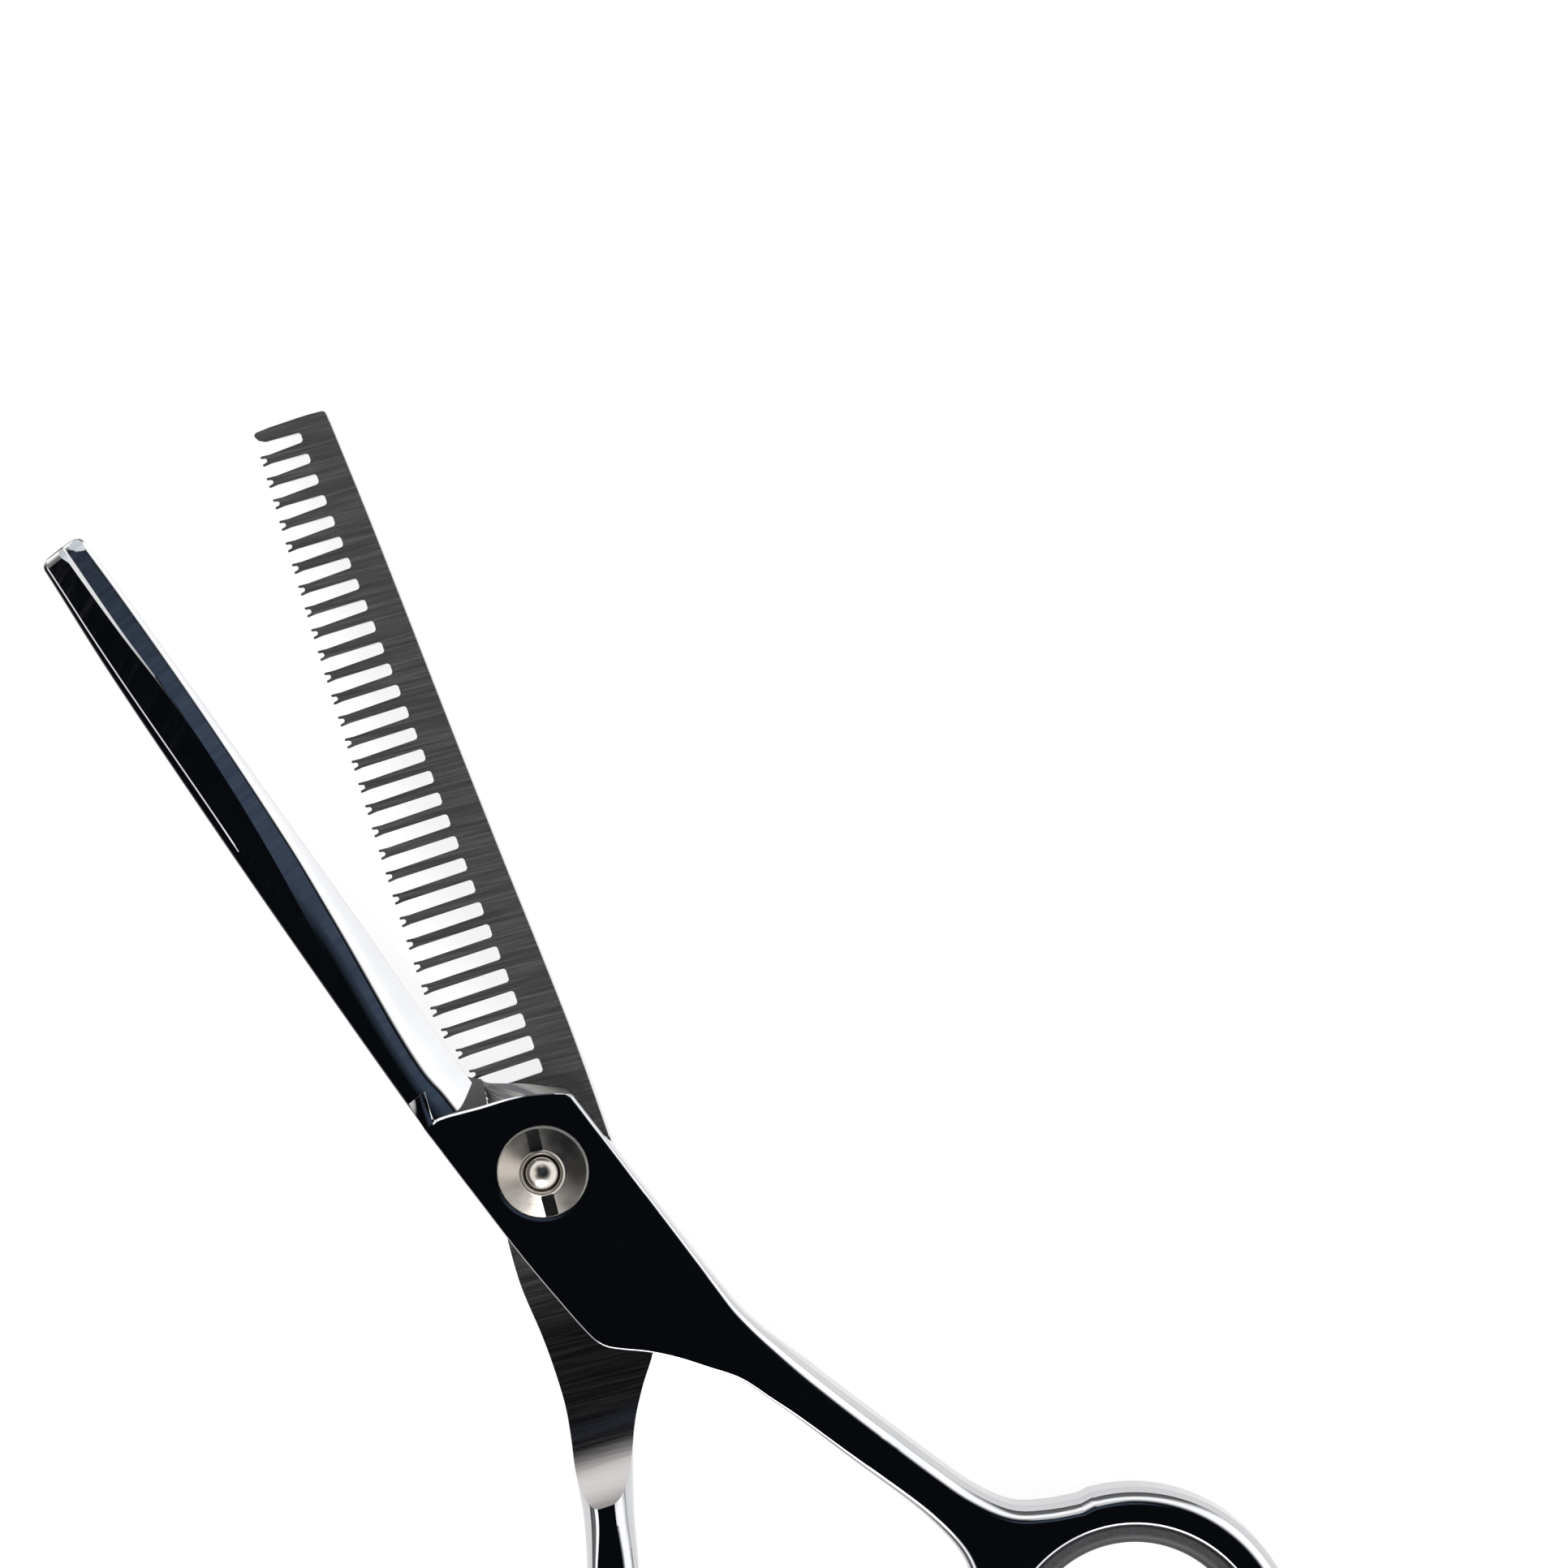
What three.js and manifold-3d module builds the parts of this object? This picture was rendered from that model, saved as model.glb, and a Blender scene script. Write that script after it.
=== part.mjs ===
// Thinning shears, 6 inch class: a plain blade half and a toothed blade half on a pivot stud with a slotted
// tension nut. Millimetres, +Z up. The origin is on the pivot axis, in the plane of the stud's back face, and
// +Y is midway between the two blades, towards their tips. The halves are drawn slightly open.
//
// Each half is drawn in its own frame and then turned: there, y runs from the pivot towards the blade tip
// and x across the blade, positive to the right as seen from the screw side.
import * as THREE from "three";
import { mergeVertices } from "three/addons/utils/BufferGeometryUtils.js";
import Module from "manifold-3d";

const wasm = await Module();
wasm.setup();

// ---- Driving dimensions, mm and degrees ----
const REST_OPENING = 19.2; // angle between the blades as drawn
const CLOSED_OPENING = 2; // the same angle with the handles against the bumper
const BLADE_REACH = 72.3; // pivot to the plain blade's tip
const TOOTHED_REACH = 72.75; // pivot to the toothed blade's tip
const HUB_THICK = 2.7; // each half, at the pivot
const RIDE_GAP = 0.1; // between the two ride faces
const EDGE_BREAK = 0.15; // small chamfer on polished edges
const TURNS = 40; // sides of a round piece

const RIDE_LOW = HUB_THICK; // ride face of the toothed half
const RIDE_HIGH = HUB_THICK + RIDE_GAP; // ride face of the plain half
const TOP = RIDE_HIGH + HUB_THICK; // outer face of the plain half, and of both handles

const TEETH_SLOTS = 30;
const FIRST_SLOT = 9.26; // middle of the slot nearest the pivot
const SLOT_PITCH = 2.22; // at the pivot end; it shrinks by PITCH_SHRINK at each slot
const PITCH_SHRINK = 0.0063;
const TOOTH_TIP_WIDTH = 0.85;
const NOTCH_WIDTH = 0.45;
const NOTCH_DEPTH = 0.6;

const FINGER_RING = { x: 16, y: -68.1, outer: 15.2, bore: 12 };
const THUMB_RING = { x: -13.2, y: -61.8, outer: 14.7, bore: 11.6 };
const INSERT_WALL = 1.75; // rubber, from the ring's bore inwards
const INSERT_HEIGHT = 4.6;
const RING_FIT = 0.06; // between a ring's bore and its insert

const REST_AIM = -32; // finger rest's stem, degrees clockwise from -y at the finger ring
const REST_BOSS = 17.4; // radius of the boss that takes the stem, from the ring's middle
const STEM_R = 1.2;
const STEM_LENGTH = 2.6;
const REST_COLLAR = { r: 2.1, height: 1.3, soft: 0.3 };
const REST_HOOK = { root_r: 1.95, waist: 0.55, flatness: 0.92, ball_r: 1.95, steps: 20, sides: 16 };
const REST_PATH = [[0, 0.6], [0.2, 4.5], [2.4, 9], [7.2, 12.4], [12.6, 13]]; // sideways, and away from the boss

const STUD = {
  head_r: 3.6, head_h: 0.9, shaft_r: 2.2, shaft_top: 4.25, thread_r: 1.5, top: 6.7, dome: 0.7,
  key_r: 0.45, key_depth: 0.5, key_at: 2.2,
};
const SLIP = 0.06; // radial clearance of fitted round pieces
const BUSH_WALL = 0.8;
const RECESS_R = 4.45; // round recess of the plain half that holds the nut
const RECESS_FLOOR = 4.3;
const NUT = {
  r: 4.05, hole_r: 1.56, collar_r: 2.0, bottom: 5.06, rim: 5.52, shoulder: 5.64, cone_top: 5.95, crown: 6.15,
};
const NUT_SLOT = { width: 1.2, length: 4, floor: 5.45 };
const NUT_SLOT_TURN = -4.7; // the slot's lie as set, degrees from the toothed half's own y
const GLIDE = { outer: 4.9, inner: 2.3, thick: 0.34, sunk: 0.3 };
const NUT_WASHER = { outer: 4.2, inner: 1.63, thick: 0.3 };
const SPRING = { outer: 3.3, inner: 1.68, half_thick: 0.09, wave: 0.09, waves: 3, middle: 4.83 };
const AIR = 0.03; // left between stacked pieces

// ---- Materials ----
const steel = (colour, roughness) => new THREE.MeshStandardMaterial({ color: colour, roughness, metalness: 1 });
const POLISHED = steel(0xc9ccd0, 0.08);
const NUT_STEEL = steel(0xb4b1ac, 0.3);
const SPRING_STEEL = steel(0x9c9a97, 0.35);
const NYLON = new THREE.MeshStandardMaterial({ color: 0xe8e4da, roughness: 0.5, metalness: 0 });
const RUBBER = new THREE.MeshStandardMaterial({ color: 0x16161a, roughness: 0.75, metalness: 0 });

// ---- Helpers ----
const DEG = Math.PI / 180;

// Straight-line reading of a short table of [y, value] pairs, sorted by rising y.
function along(y, table) {
  if (y <= table[0][0]) return table[0][1];
  for (let i = 1; i < table.length; i++) {
    const [y1, v1] = table[i];
    const [y0, v0] = table[i - 1];
    if (y <= y1) return v0 + ((v1 - v0) * (y - y0)) / (y1 - y0);
  }
  return table[table.length - 1][1];
}

function toSolid(geometry) {
  const bare = geometry.clone();
  bare.deleteAttribute("normal");
  bare.deleteAttribute("uv");
  const merged = mergeVertices(bare, 1e-4);
  const vertProperties = new Float32Array(merged.attributes.position.array);
  const triVerts = new Uint32Array(merged.index.array);
  return new wasm.Manifold(new wasm.Mesh({ numProp: 3, vertProperties, triVerts }));
}

function toGeometry(solid) {
  const { vertProperties, triVerts } = solid.getMesh();
  const geometry = new THREE.BufferGeometry();
  geometry.setAttribute("position", new THREE.BufferAttribute(new Float32Array(vertProperties), 3));
  geometry.setIndex(new THREE.BufferAttribute(new Uint32Array(triVerts), 1));
  return geometry;
}

// A closed skin over a stack of outlines with equal point counts. flat gives a point's two coordinates in
// the plane of the end outlines, for closing the ends.
function loft(outlines, flat) {
  const count = outlines[0].length;
  const positions = outlines.flat().flatMap((p) => [p.x, p.y, p.z]);
  const index = [];
  for (let ring = 0; ring + 1 < outlines.length; ring++) {
    for (let i = 0; i < count; i++) {
      const a = ring * count + i;
      const b = ring * count + ((i + 1) % count);
      index.push(a, b, b + count, a, b + count, a + count);
    }
  }
  const last = (outlines.length - 1) * count;
  const faces = (outline) => THREE.ShapeUtils.triangulateShape(outline.map(flat), []);
  const forward = THREE.ShapeUtils.area(outlines[0].map(flat)) > 0;
  for (const [a, b, c] of faces(outlines[0])) index.push(...(forward ? [a, c, b] : [a, b, c]));
  for (const [a, b, c] of faces(outlines.at(-1))) {
    index.push(...(forward ? [last + a, last + b, last + c] : [last + a, last + c, last + b]));
  }
  const geometry = new THREE.BufferGeometry();
  geometry.setAttribute("position", new THREE.Float32BufferAttribute(positions, 3));
  geometry.setIndex(index);
  return outward(geometry);
}

// Turns every face of a closed geometry over if they point inwards.
function outward(geometry) {
  const p = geometry.attributes.position;
  const at = (i) => new THREE.Vector3().fromBufferAttribute(p, i);
  const index = Array.from(geometry.index.array);
  let volume = 0;
  for (let i = 0; i < index.length; i += 3) {
    volume += at(index[i]).dot(at(index[i + 1]).cross(at(index[i + 2])));
  }
  if (volume < 0) {
    for (let i = 0; i < index.length; i += 3) [index[i + 1], index[i + 2]] = [index[i + 2], index[i + 1]];
    geometry.setIndex(index);
  }
  return geometry;
}

// A solid of revolution about z over [radius, z] points, and a plain drum.
const spin = (profile, sides = TURNS) =>
  new THREE.LatheGeometry(profile.map(([r, z]) => new THREE.Vector2(r, z)), sides).rotateX(Math.PI / 2);

const drum = (r, low, high) => spin([[0, low], [r, low], [r, high], [0, high]]);

// A prism along z over [x, y] points.
function prism(points, low, high) {
  const shape = new THREE.Shape(points.map(([x, y]) => new THREE.Vector2(x, y)));
  const geometry = new THREE.ExtrudeGeometry(shape, { depth: high - low, bevelEnabled: false });
  return geometry.translate(0, 0, low);
}

function mesh(name, geometry, material) {
  const piece = new THREE.Mesh(geometry, material.clone());
  piece.name = name;
  return piece;
}

// ---- Handles, shared by both halves ----

// Section of a handle bar at y: an octagon from left to right, with the bar's chamfer on all four edges.
function barSection(y, left, right, low, high, chamfer) {
  const corners = [
    [left, low + chamfer], [left + chamfer, low], [right - chamfer, low], [right, low + chamfer],
    [right, high - chamfer], [right - chamfer, high], [left + chamfer, high], [left, high - chamfer],
  ];
  return corners.map(([x, z]) => new THREE.Vector3(x, y, z));
}

// The bar follows its two edges down to the ring. low and high give its faces at each y.
function bar(left, right, low, high, chamfer) {
  const stations = [...new Set([...left, ...right, ...low, ...high].map(([y]) => y))].sort((a, b) => a - b);
  const inside = stations.filter((y) => y >= left[0][0] && y <= left.at(-1)[0]);
  const sections = inside.map((y) =>
    barSection(y, along(y, left), along(y, right), along(y, low), along(y, high), along(y, chamfer)));
  return toSolid(loft(sections, (p) => new THREE.Vector2(p.x, p.z)));
}

function ringBody(ring) {
  const { outer, bore } = ring;
  const soft = 1.1; // rounding of the outer edges
  const lip = 0.3; // chamfer of the bore
  const step = soft * (1 - Math.SQRT1_2);
  const profile = [
    [bore, lip], [bore + lip, 0], [outer - soft, 0], [outer - step, step], [outer, soft],
    [outer, TOP - soft], [outer - step, TOP - step], [outer - soft, TOP], [bore + lip, TOP], [bore, TOP - lip],
    [bore, lip],
  ];
  return toSolid(spin(profile, 56).translate(ring.x, ring.y, 0));
}

const ringBore = (ring) => toSolid(drum(ring.bore, -1, TOP + 1).translate(ring.x, ring.y, 0));

// ---- Plain half ----
const PLAIN_EDGE = [
  [3, -0.3], [10.9, -0.4], [18, -0.15], [26, 0.33], [38, 0.78], [54, 1.33], [BLADE_REACH, 1.78],
];
const PLAIN_SPINE = [
  [3, -6.15], [10, -6.05], [22, -5.7], [38, -5], [54, -4.1], [62, -3.55], [BLADE_REACH, -2.65],
];
const PLAIN_BEVEL_WIDTH = [
  [3, 2.6], [14, 2.5], [22, 2.05], [30, 1.4], [38, 0.85], [54, 0.33], [BLADE_REACH, 0.15],
];
const PLAIN_RIDGE = [[3, -3.8], [17, -3.6], [39, -1.7], [55, -0.5], [BLADE_REACH, -0.2]];
const PLAIN_SPINE_FACET = [[3, 0.5], [42, 0.72], [55, 0.5], [BLADE_REACH, 0.15]];
const PLAIN_THICK = [[3, 2.65], [11, 2.6], [14, 2.45], [25, 2.1], [40, 1.7], [BLADE_REACH, 1.0]];
const BEVEL_SLOPE = 0.56; // rise of the bevel over its width

// The last sections of a blade, drawn in a quarter circle so that the tip's corners are round.
const TIP_ROUND = 0.8;
function roundedTip(section, reach, leftRound) {
  return [30, 60, 90].map((turn) => {
    const outline = section(reach - TIP_ROUND * (1 - Math.sin(turn * DEG)));
    const xs = outline.map((p) => p.x);
    const left = Math.min(...xs);
    const width = Math.max(...xs) - left;
    const cut = 1 - Math.cos(turn * DEG);
    for (const p of outline) {
      p.x = left + leftRound * cut + ((p.x - left) * (width - (TIP_ROUND + leftRound) * cut)) / width;
    }
    return outline;
  });
}

const EDGE_LAND = 0.1; // upright strip behind the cutting edge

function plainSection(y) {
  const edge = along(y, PLAIN_EDGE);
  const bevel = along(y, PLAIN_BEVEL_WIDTH);
  const spine = along(y, PLAIN_SPINE);
  const facet = along(y, PLAIN_SPINE_FACET);
  const thick = along(y, PLAIN_THICK);
  const points = [
    [edge, 0], [edge, EDGE_LAND], [edge - bevel, EDGE_LAND + bevel * BEVEL_SLOPE],
    [along(y, PLAIN_RIDGE), thick], [spine + facet, thick - 0.22], [spine, thick * 0.55], [spine, 0.2],
    [spine + 0.2, 0],
  ];
  return points.map(([x, z]) => new THREE.Vector3(x, y, RIDE_HIGH + z));
}

function plainBlade() {
  const stations = [3, 10.9, 14, 18, 24, 31, 39, 47, 55, 63, BLADE_REACH - TIP_ROUND];
  const sections = [...stations.map(plainSection), ...roundedTip(plainSection, BLADE_REACH, TIP_ROUND)];
  return toSolid(loft(sections, (p) => new THREE.Vector2(p.x, p.z)));
}

// The plain hub's outline at the ride face and at the top: the front shoulder slopes between them.
const PLAIN_HUB_BACK = [
  [-6.2, -5], [-5.6, -14.7], [-5.2, -16.1], [-4.3, -17.2], [-2.3, -19], [1.3, -23.6], [2.9, -26], [7.6, -26],
  [6.5, -20.4],
];
const PLAIN_HUB_FOOT = [[6.5, 4], [5.4, 5.7], [2.9, 7.7], [0.7, 9.2], [-0.4, 10.9], [-6, 11.5], [-6.25, -2]];
const PLAIN_HUB_TOP = [[6.5, 3.8], [5.2, 5.1], [1.6, 7.3], [-1, 8.3], [-4.6, 9.7], [-5.7, 10.3], [-6.25, -2]];

function plainHub() {
  const level = (front, z, inset) => {
    const outline = [...front, ...PLAIN_HUB_BACK];
    const middle = new THREE.Vector2(0, -7);
    return outline.map(([x, y]) => {
      const inwards = new THREE.Vector2(middle.x - x, middle.y - y).setLength(inset);
      return new THREE.Vector3(x + inwards.x, y + inwards.y, z);
    });
  };
  const stack = [
    level(PLAIN_HUB_FOOT, RIDE_HIGH, EDGE_BREAK),
    level(PLAIN_HUB_FOOT, RIDE_HIGH + EDGE_BREAK, 0),
    level(PLAIN_HUB_TOP, TOP - EDGE_BREAK, 0),
    level(PLAIN_HUB_TOP, TOP, EDGE_BREAK),
  ];
  return toSolid(loft(stack, (p) => new THREE.Vector2(p.x, p.y)));
}

// Handle bar of the plain half. Tables run from the ring up to the hub.
const PLAIN_BAR_LEFT = [
  [-57, 5.2], [-55.5, 7], [-54, 8.1], [-52, 8.9], [-50, 9.05], [-47, 8.75], [-44, 8.1], [-38, 6.4], [-32, 4.75],
  [-29, 3.8], [-26, 2.8], [-23.6, 1.3], [-21, -0.6],
];
const PLAIN_BAR_RIGHT = [
  [-57, 26], [-55.5, 23.6], [-54, 20.6], [-52.5, 17.8], [-50.5, 15.4], [-47, 13.6], [-44, 12.6], [-38, 10.9],
  [-32, 9.25], [-26, 7.65], [-23, 7], [-21, 6.6],
];
const PLAIN_BAR_LOW = [[-28.5, 0], [-25, RIDE_HIGH]];
const BAR_HIGH = [[-50, TOP]];
const BAR_CHAMFER = [[-57, 1.1], [-29, 1], [-24, 0.25], [-21, EDGE_BREAK]];

// A piece drawn pointing along -y from the origin, moved to the finger ring and turned to the rest's aim.
function atRest(geometry) {
  return geometry.rotateZ(-REST_AIM * DEG).translate(FINGER_RING.x, FINGER_RING.y, TOP / 2);
}

function alongMinusY(profile, sides = 24) {
  return spin(profile, sides).rotateX(Math.PI / 2);
}

function plainHalf() {
  const boss = toSolid(atRest(alongMinusY([
    [0, 12.5], [2.6, 12.5], [2.6, 14.4], [2.2, REST_BOSS - 0.3], [1.9, REST_BOSS], [0, REST_BOSS],
  ])));
  const stemHole = toSolid(atRest(alongMinusY([
    [0, REST_BOSS - STEM_LENGTH - 0.3], [STEM_R + SLIP, REST_BOSS - STEM_LENGTH - 0.3],
    [STEM_R + SLIP, REST_BOSS + 1], [0, REST_BOSS + 1],
  ])));
  const pivotBore = toSolid(drum(STUD.shaft_r + SLIP + BUSH_WALL + SLIP, RIDE_HIGH - 1, TOP + 1));
  const recess = toSolid(drum(RECESS_R, RECESS_FLOOR, TOP + 1));
  return plainBlade()
    .add(plainHub())
    .add(bar(PLAIN_BAR_LEFT, PLAIN_BAR_RIGHT, PLAIN_BAR_LOW, BAR_HIGH, BAR_CHAMFER))
    .add(ringBody(FINGER_RING))
    .add(boss)
    .subtract(ringBore(FINGER_RING))
    .subtract(stemHole)
    .subtract(pivotBore)
    .subtract(recess);
}

// ---- Toothed half ----
const TOOTH_TIPS = [
  [3, -3.3], [9.5, -3.5], [12.5, -4.25], [15, -5], [19, -5.4], [28, -5.3], [40, -5], [53, -4.7],
  [TOOTHED_REACH, -4],
];
const TOOTH_ROOTS = [[8.9, 2.8], [37.4, 1.7], [70.4, 0.15]];
const TOOTHED_SPINE = [
  [2, 6.75], [10.3, 6.45], [19, 6], [28, 5.45], [40.6, 4.75], [61.5, 3.7], [TOOTHED_REACH, 2.95],
];
const TOOTHED_THICK = [[3, 2.4], [12, 2.2], [40, 1.8], [TOOTHED_REACH, 1.3]];
const SLOT_ROOT_WIDTH = [[0, 1.36], [TEETH_SLOTS - 1, 0.93]];
const SPINE_ROUND = 0.4; // width of the rounded strip along the spine

function toothedSection(y) {
  const tips = along(y, TOOTH_TIPS);
  const spine = along(y, TOOTHED_SPINE);
  const thick = along(y, TOOTHED_THICK);
  const root = along(y, TOOTH_ROOTS);
  const points = [
    [tips, 0], [tips, -0.35], [root + 0.8, -thick], [spine - 1.1, -thick], [spine - 0.25, -thick * 0.75],
    [spine, -thick * 0.5], [spine - 0.2, -0.2], [spine - SPINE_ROUND, 0],
  ];
  return points.map(([x, z]) => new THREE.Vector3(x, y, RIDE_LOW + z));
}

function toothedBlade() {
  const stations = [3, 10.6, 17, 24, 31, 38.5, 47, 56, 64, TOOTHED_REACH - TIP_ROUND];
  const sections = [...stations.map(toothedSection), ...roundedTip(toothedSection, TOOTHED_REACH, 0.3)];
  return toSolid(loft(sections, (p) => new THREE.Vector2(p.x, p.z)));
}

const slotMiddle = (i) => FIRST_SLOT + SLOT_PITCH * i - (PITCH_SHRINK * i * i) / 2;

// A slot between two teeth, open towards -x, with a rounded root.
function slot(i) {
  const y = slotMiddle(i);
  const pitch = SLOT_PITCH - PITCH_SHRINK * i;
  const mouth = (pitch - TOOTH_TIP_WIDTH) / 2;
  const root = along(i, SLOT_ROOT_WIDTH) / 2;
  const x = along(y, TOOTH_ROOTS);
  const round = 0.3; // of the root's corners
  const cut = round * (1 - Math.SQRT1_2);
  const outside = along(y, TOOTH_TIPS) - 1;
  return prism([
    [outside, y - mouth], [x - round, y - root], [x - cut, y - root + cut], [x, y - root + round],
    [x, y + root - round], [x - cut, y + root - cut], [x - round, y + root], [outside, y + mouth],
  ], -1, RIDE_LOW + 1);
}

// The notch that splits the end of the tooth beyond slot i into two prongs.
function notch(i) {
  const y = (slotMiddle(i) + slotMiddle(i + 1)) / 2;
  const x = along(y, TOOTH_TIPS);
  const half = NOTCH_WIDTH / 2;
  return prism([
    [x - 1, y - half - 0.3], [x, y - half], [x + NOTCH_DEPTH - half, y - half * 0.8], [x + NOTCH_DEPTH, y],
    [x + NOTCH_DEPTH - half, y + half * 0.8], [x, y + half], [x - 1, y + half + 0.3],
  ], -1, RIDE_LOW + 1);
}

const TOOTHED_HUB = [
  [6.75, 2.4], [6.6, -8], [6.2, -14.3], [5.5, -16.2], [4.2, -19.1], [2.3, -21.8], [0.6, -24.7], [-0.7, -28.1],
  [-1.6, -31], [-6.5, -31], [-6, -27.1], [-5.4, -24.3], [-5, -21.2], [-4.9, -17.7], [-5, -14.4],
  [-5.4, -9], [-5.5, -2], [-5, 3], [-4.1, 6.5], [-3.3, 8.2], [6.4, 12],
];

function toothedHub() {
  const level = (z, inset) => TOOTHED_HUB.map(([x, y]) => {
    const inwards = new THREE.Vector2(0.5 - x, -9 - y).setLength(inset);
    return new THREE.Vector3(x + inwards.x, y + inwards.y, z);
  });
  const stack = [level(0, EDGE_BREAK), level(EDGE_BREAK, 0), level(RIDE_LOW - 0.05, 0), level(RIDE_LOW, 0.05)];
  return toSolid(loft(stack, (p) => new THREE.Vector2(p.x, p.y)));
}

const TOOTHED_BAR_LEFT = [
  [-50.5, -21.5], [-49, -18.4], [-47.5, -15.2], [-45.5, -12], [-42.5, -9.9], [-39, -8.6], [-35.5, -7.6],
  [-31.3, -6.6], [-27, -6], [-24.5, -5.4],
];
const TOOTHED_BAR_RIGHT = [
  [-50.5, -3.1], [-49, -4.3], [-47, -4.9], [-44.5, -4.9], [-41, -4.2], [-37, -3.1], [-32.7, -2.1],
  [-28.1, -0.7], [-24.5, 0.6],
];
const TOOTHED_BAR_LOW = [[-50.5, 0]];
const TOOTHED_BAR_HIGH = [[-31.5, TOP], [-28.5, RIDE_LOW]];
const TOOTHED_BAR_CHAMFER = [[-50.5, 1.1], [-32, 1], [-27.5, 0.25], [-24.5, EDGE_BREAK]];

// The bumper sits where the two rings come closest with the blades closed.
function bumperLine() {
  const turn = CLOSED_OPENING * DEG;
  const other = new THREE.Vector2(FINGER_RING.x, FINGER_RING.y).rotateAround(new THREE.Vector2(), turn);
  const reach = other.sub(new THREE.Vector2(THUMB_RING.x, THUMB_RING.y));
  return { aim: Math.atan2(reach.y, reach.x), gap: reach.length() - FINGER_RING.outer - THUMB_RING.outer };
}
const BUMPER = { ...bumperLine(), r: 2, stem_r: 1.1, stem: 1.6, clear: 0.06, seat: 0.05, sunk: 0.3 };

// A piece drawn pointing along -y from the origin, moved to the thumb ring and turned to the bumper's line.
function atBumper(geometry) {
  return geometry.rotateZ(BUMPER.aim + Math.PI / 2).translate(THUMB_RING.x, THUMB_RING.y, TOP / 2);
}

function toothedHalf() {
  const seat = THUMB_RING.outer - BUMPER.seat;
  const bumperHole = toSolid(atBumper(alongMinusY([
    [0, THUMB_RING.outer - BUMPER.stem - 0.2], [BUMPER.stem_r + SLIP, THUMB_RING.outer - BUMPER.stem - 0.2],
    [BUMPER.stem_r + SLIP, seat - BUMPER.sunk], [BUMPER.r + 0.15, seat - BUMPER.sunk],
    [BUMPER.r + 0.15, seat + 2], [0, seat + 2],
  ])));
  let blade = toothedBlade();
  for (let i = 0; i < TEETH_SLOTS; i++) blade = blade.subtract(toSolid(slot(i)));
  for (let i = 0; i < TEETH_SLOTS - 1; i++) blade = blade.subtract(toSolid(notch(i)));
  const headSeat = STUD.head_h + SLIP;
  const studBore = toSolid(spin([
    [0, -1], [STUD.head_r + SLIP, -1], [STUD.head_r + SLIP, headSeat], [STUD.shaft_r + SLIP, headSeat],
    [STUD.shaft_r + SLIP, RIDE_LOW + 1], [0, RIDE_LOW + 1],
  ]));
  const glideRecess = toSolid(drum(GLIDE.outer + 0.1, RIDE_LOW - GLIDE.sunk, RIDE_LOW + 1));
  return blade
    .add(toothedHub())
    .add(bar(TOOTHED_BAR_LEFT, TOOTHED_BAR_RIGHT, TOOTHED_BAR_LOW, TOOTHED_BAR_HIGH, TOOTHED_BAR_CHAMFER))
    .add(ringBody(THUMB_RING))
    .subtract(ringBore(THUMB_RING))
    .subtract(bumperHole)
    .subtract(studBore)
    .subtract(glideRecess);
}

// ---- Pivot ----

// Back head with two key holes, plain shaft, thread and domed end.
function pivotStud() {
  const { head_r, head_h, shaft_r, shaft_top, thread_r, top, dome, key_r, key_depth, key_at } = STUD;
  const profile = [
    [0, 0], [head_r - EDGE_BREAK, 0], [head_r, EDGE_BREAK], [head_r, head_h], [shaft_r, head_h],
    [shaft_r, shaft_top - EDGE_BREAK], [shaft_r - EDGE_BREAK, shaft_top], [thread_r, shaft_top],
    [thread_r, top - dome],
  ];
  for (let step = 1; step < 6; step++) {
    const turn = (step / 6) * 90 * DEG;
    profile.push([thread_r * Math.cos(turn), top - dome + dome * Math.sin(turn)]);
  }
  profile.push([0, top]);
  const hole = [[0, -1], [key_r, -1], [key_r, key_depth], [0, key_depth]];
  const keyHole = (x) => toSolid(spin(hole, 16).translate(x, 0, 0));
  return toSolid(spin(profile)).subtract(keyHole(key_at)).subtract(keyHole(-key_at));
}

function pivotBush() {
  const inner = STUD.shaft_r + SLIP;
  const outer = inner + BUSH_WALL;
  const low = RIDE_HIGH + AIR;
  const high = RECESS_FLOOR - AIR;
  return spin([
    [inner, low], [outer - EDGE_BREAK, low], [outer, low + EDGE_BREAK], [outer, high], [inner, high],
    [inner, low],
  ]);
}

function flatWasher({ inner, outer, thick }, low) {
  return spin([[inner, low], [outer, low], [outer, low + thick], [inner, low + thick], [inner, low]]);
}

// Spring washer: a thin ring bent into waves.
function springWasher() {
  const { inner, outer, half_thick, wave, waves, middle } = SPRING;
  const [low, high] = [-half_thick, half_thick];
  const geometry = spin([[inner, low], [outer, low], [outer, high], [inner, high], [inner, low]], 36);
  const p = geometry.attributes.position;
  for (let i = 0; i < p.count; i++) {
    const turn = Math.atan2(p.getY(i), p.getX(i));
    p.setZ(i, p.getZ(i) + wave * Math.cos(waves * turn));
  }
  return geometry.translate(0, 0, middle);
}

// Slotted disc: a shallow cone up to a raised collar, which leaves the stud's end showing.
function tensionNut() {
  const { r, hole_r, bottom, rim, shoulder, cone_top, crown, collar_r } = NUT;
  const body = toSolid(spin([
    [hole_r, bottom], [r - EDGE_BREAK, bottom], [r, bottom + EDGE_BREAK], [r, rim], [r - 0.19, shoulder],
    [collar_r + 0.12, cone_top], [collar_r, crown - 0.08], [collar_r - 0.12, crown], [hole_r, crown - 0.35],
    [hole_r, bottom],
  ]));
  const cutter = (side) => {
    const start = collar_r + 0.05;
    const box = new THREE.BoxGeometry(NUT_SLOT.width, NUT_SLOT.length, 2);
    box.translate(0, side * (start + NUT_SLOT.length / 2), NUT_SLOT.floor + 1);
    return toSolid(box.rotateZ(NUT_SLOT_TURN * DEG));
  };
  return body.subtract(cutter(1)).subtract(cutter(-1));
}

// ---- Handle fittings ----

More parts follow.
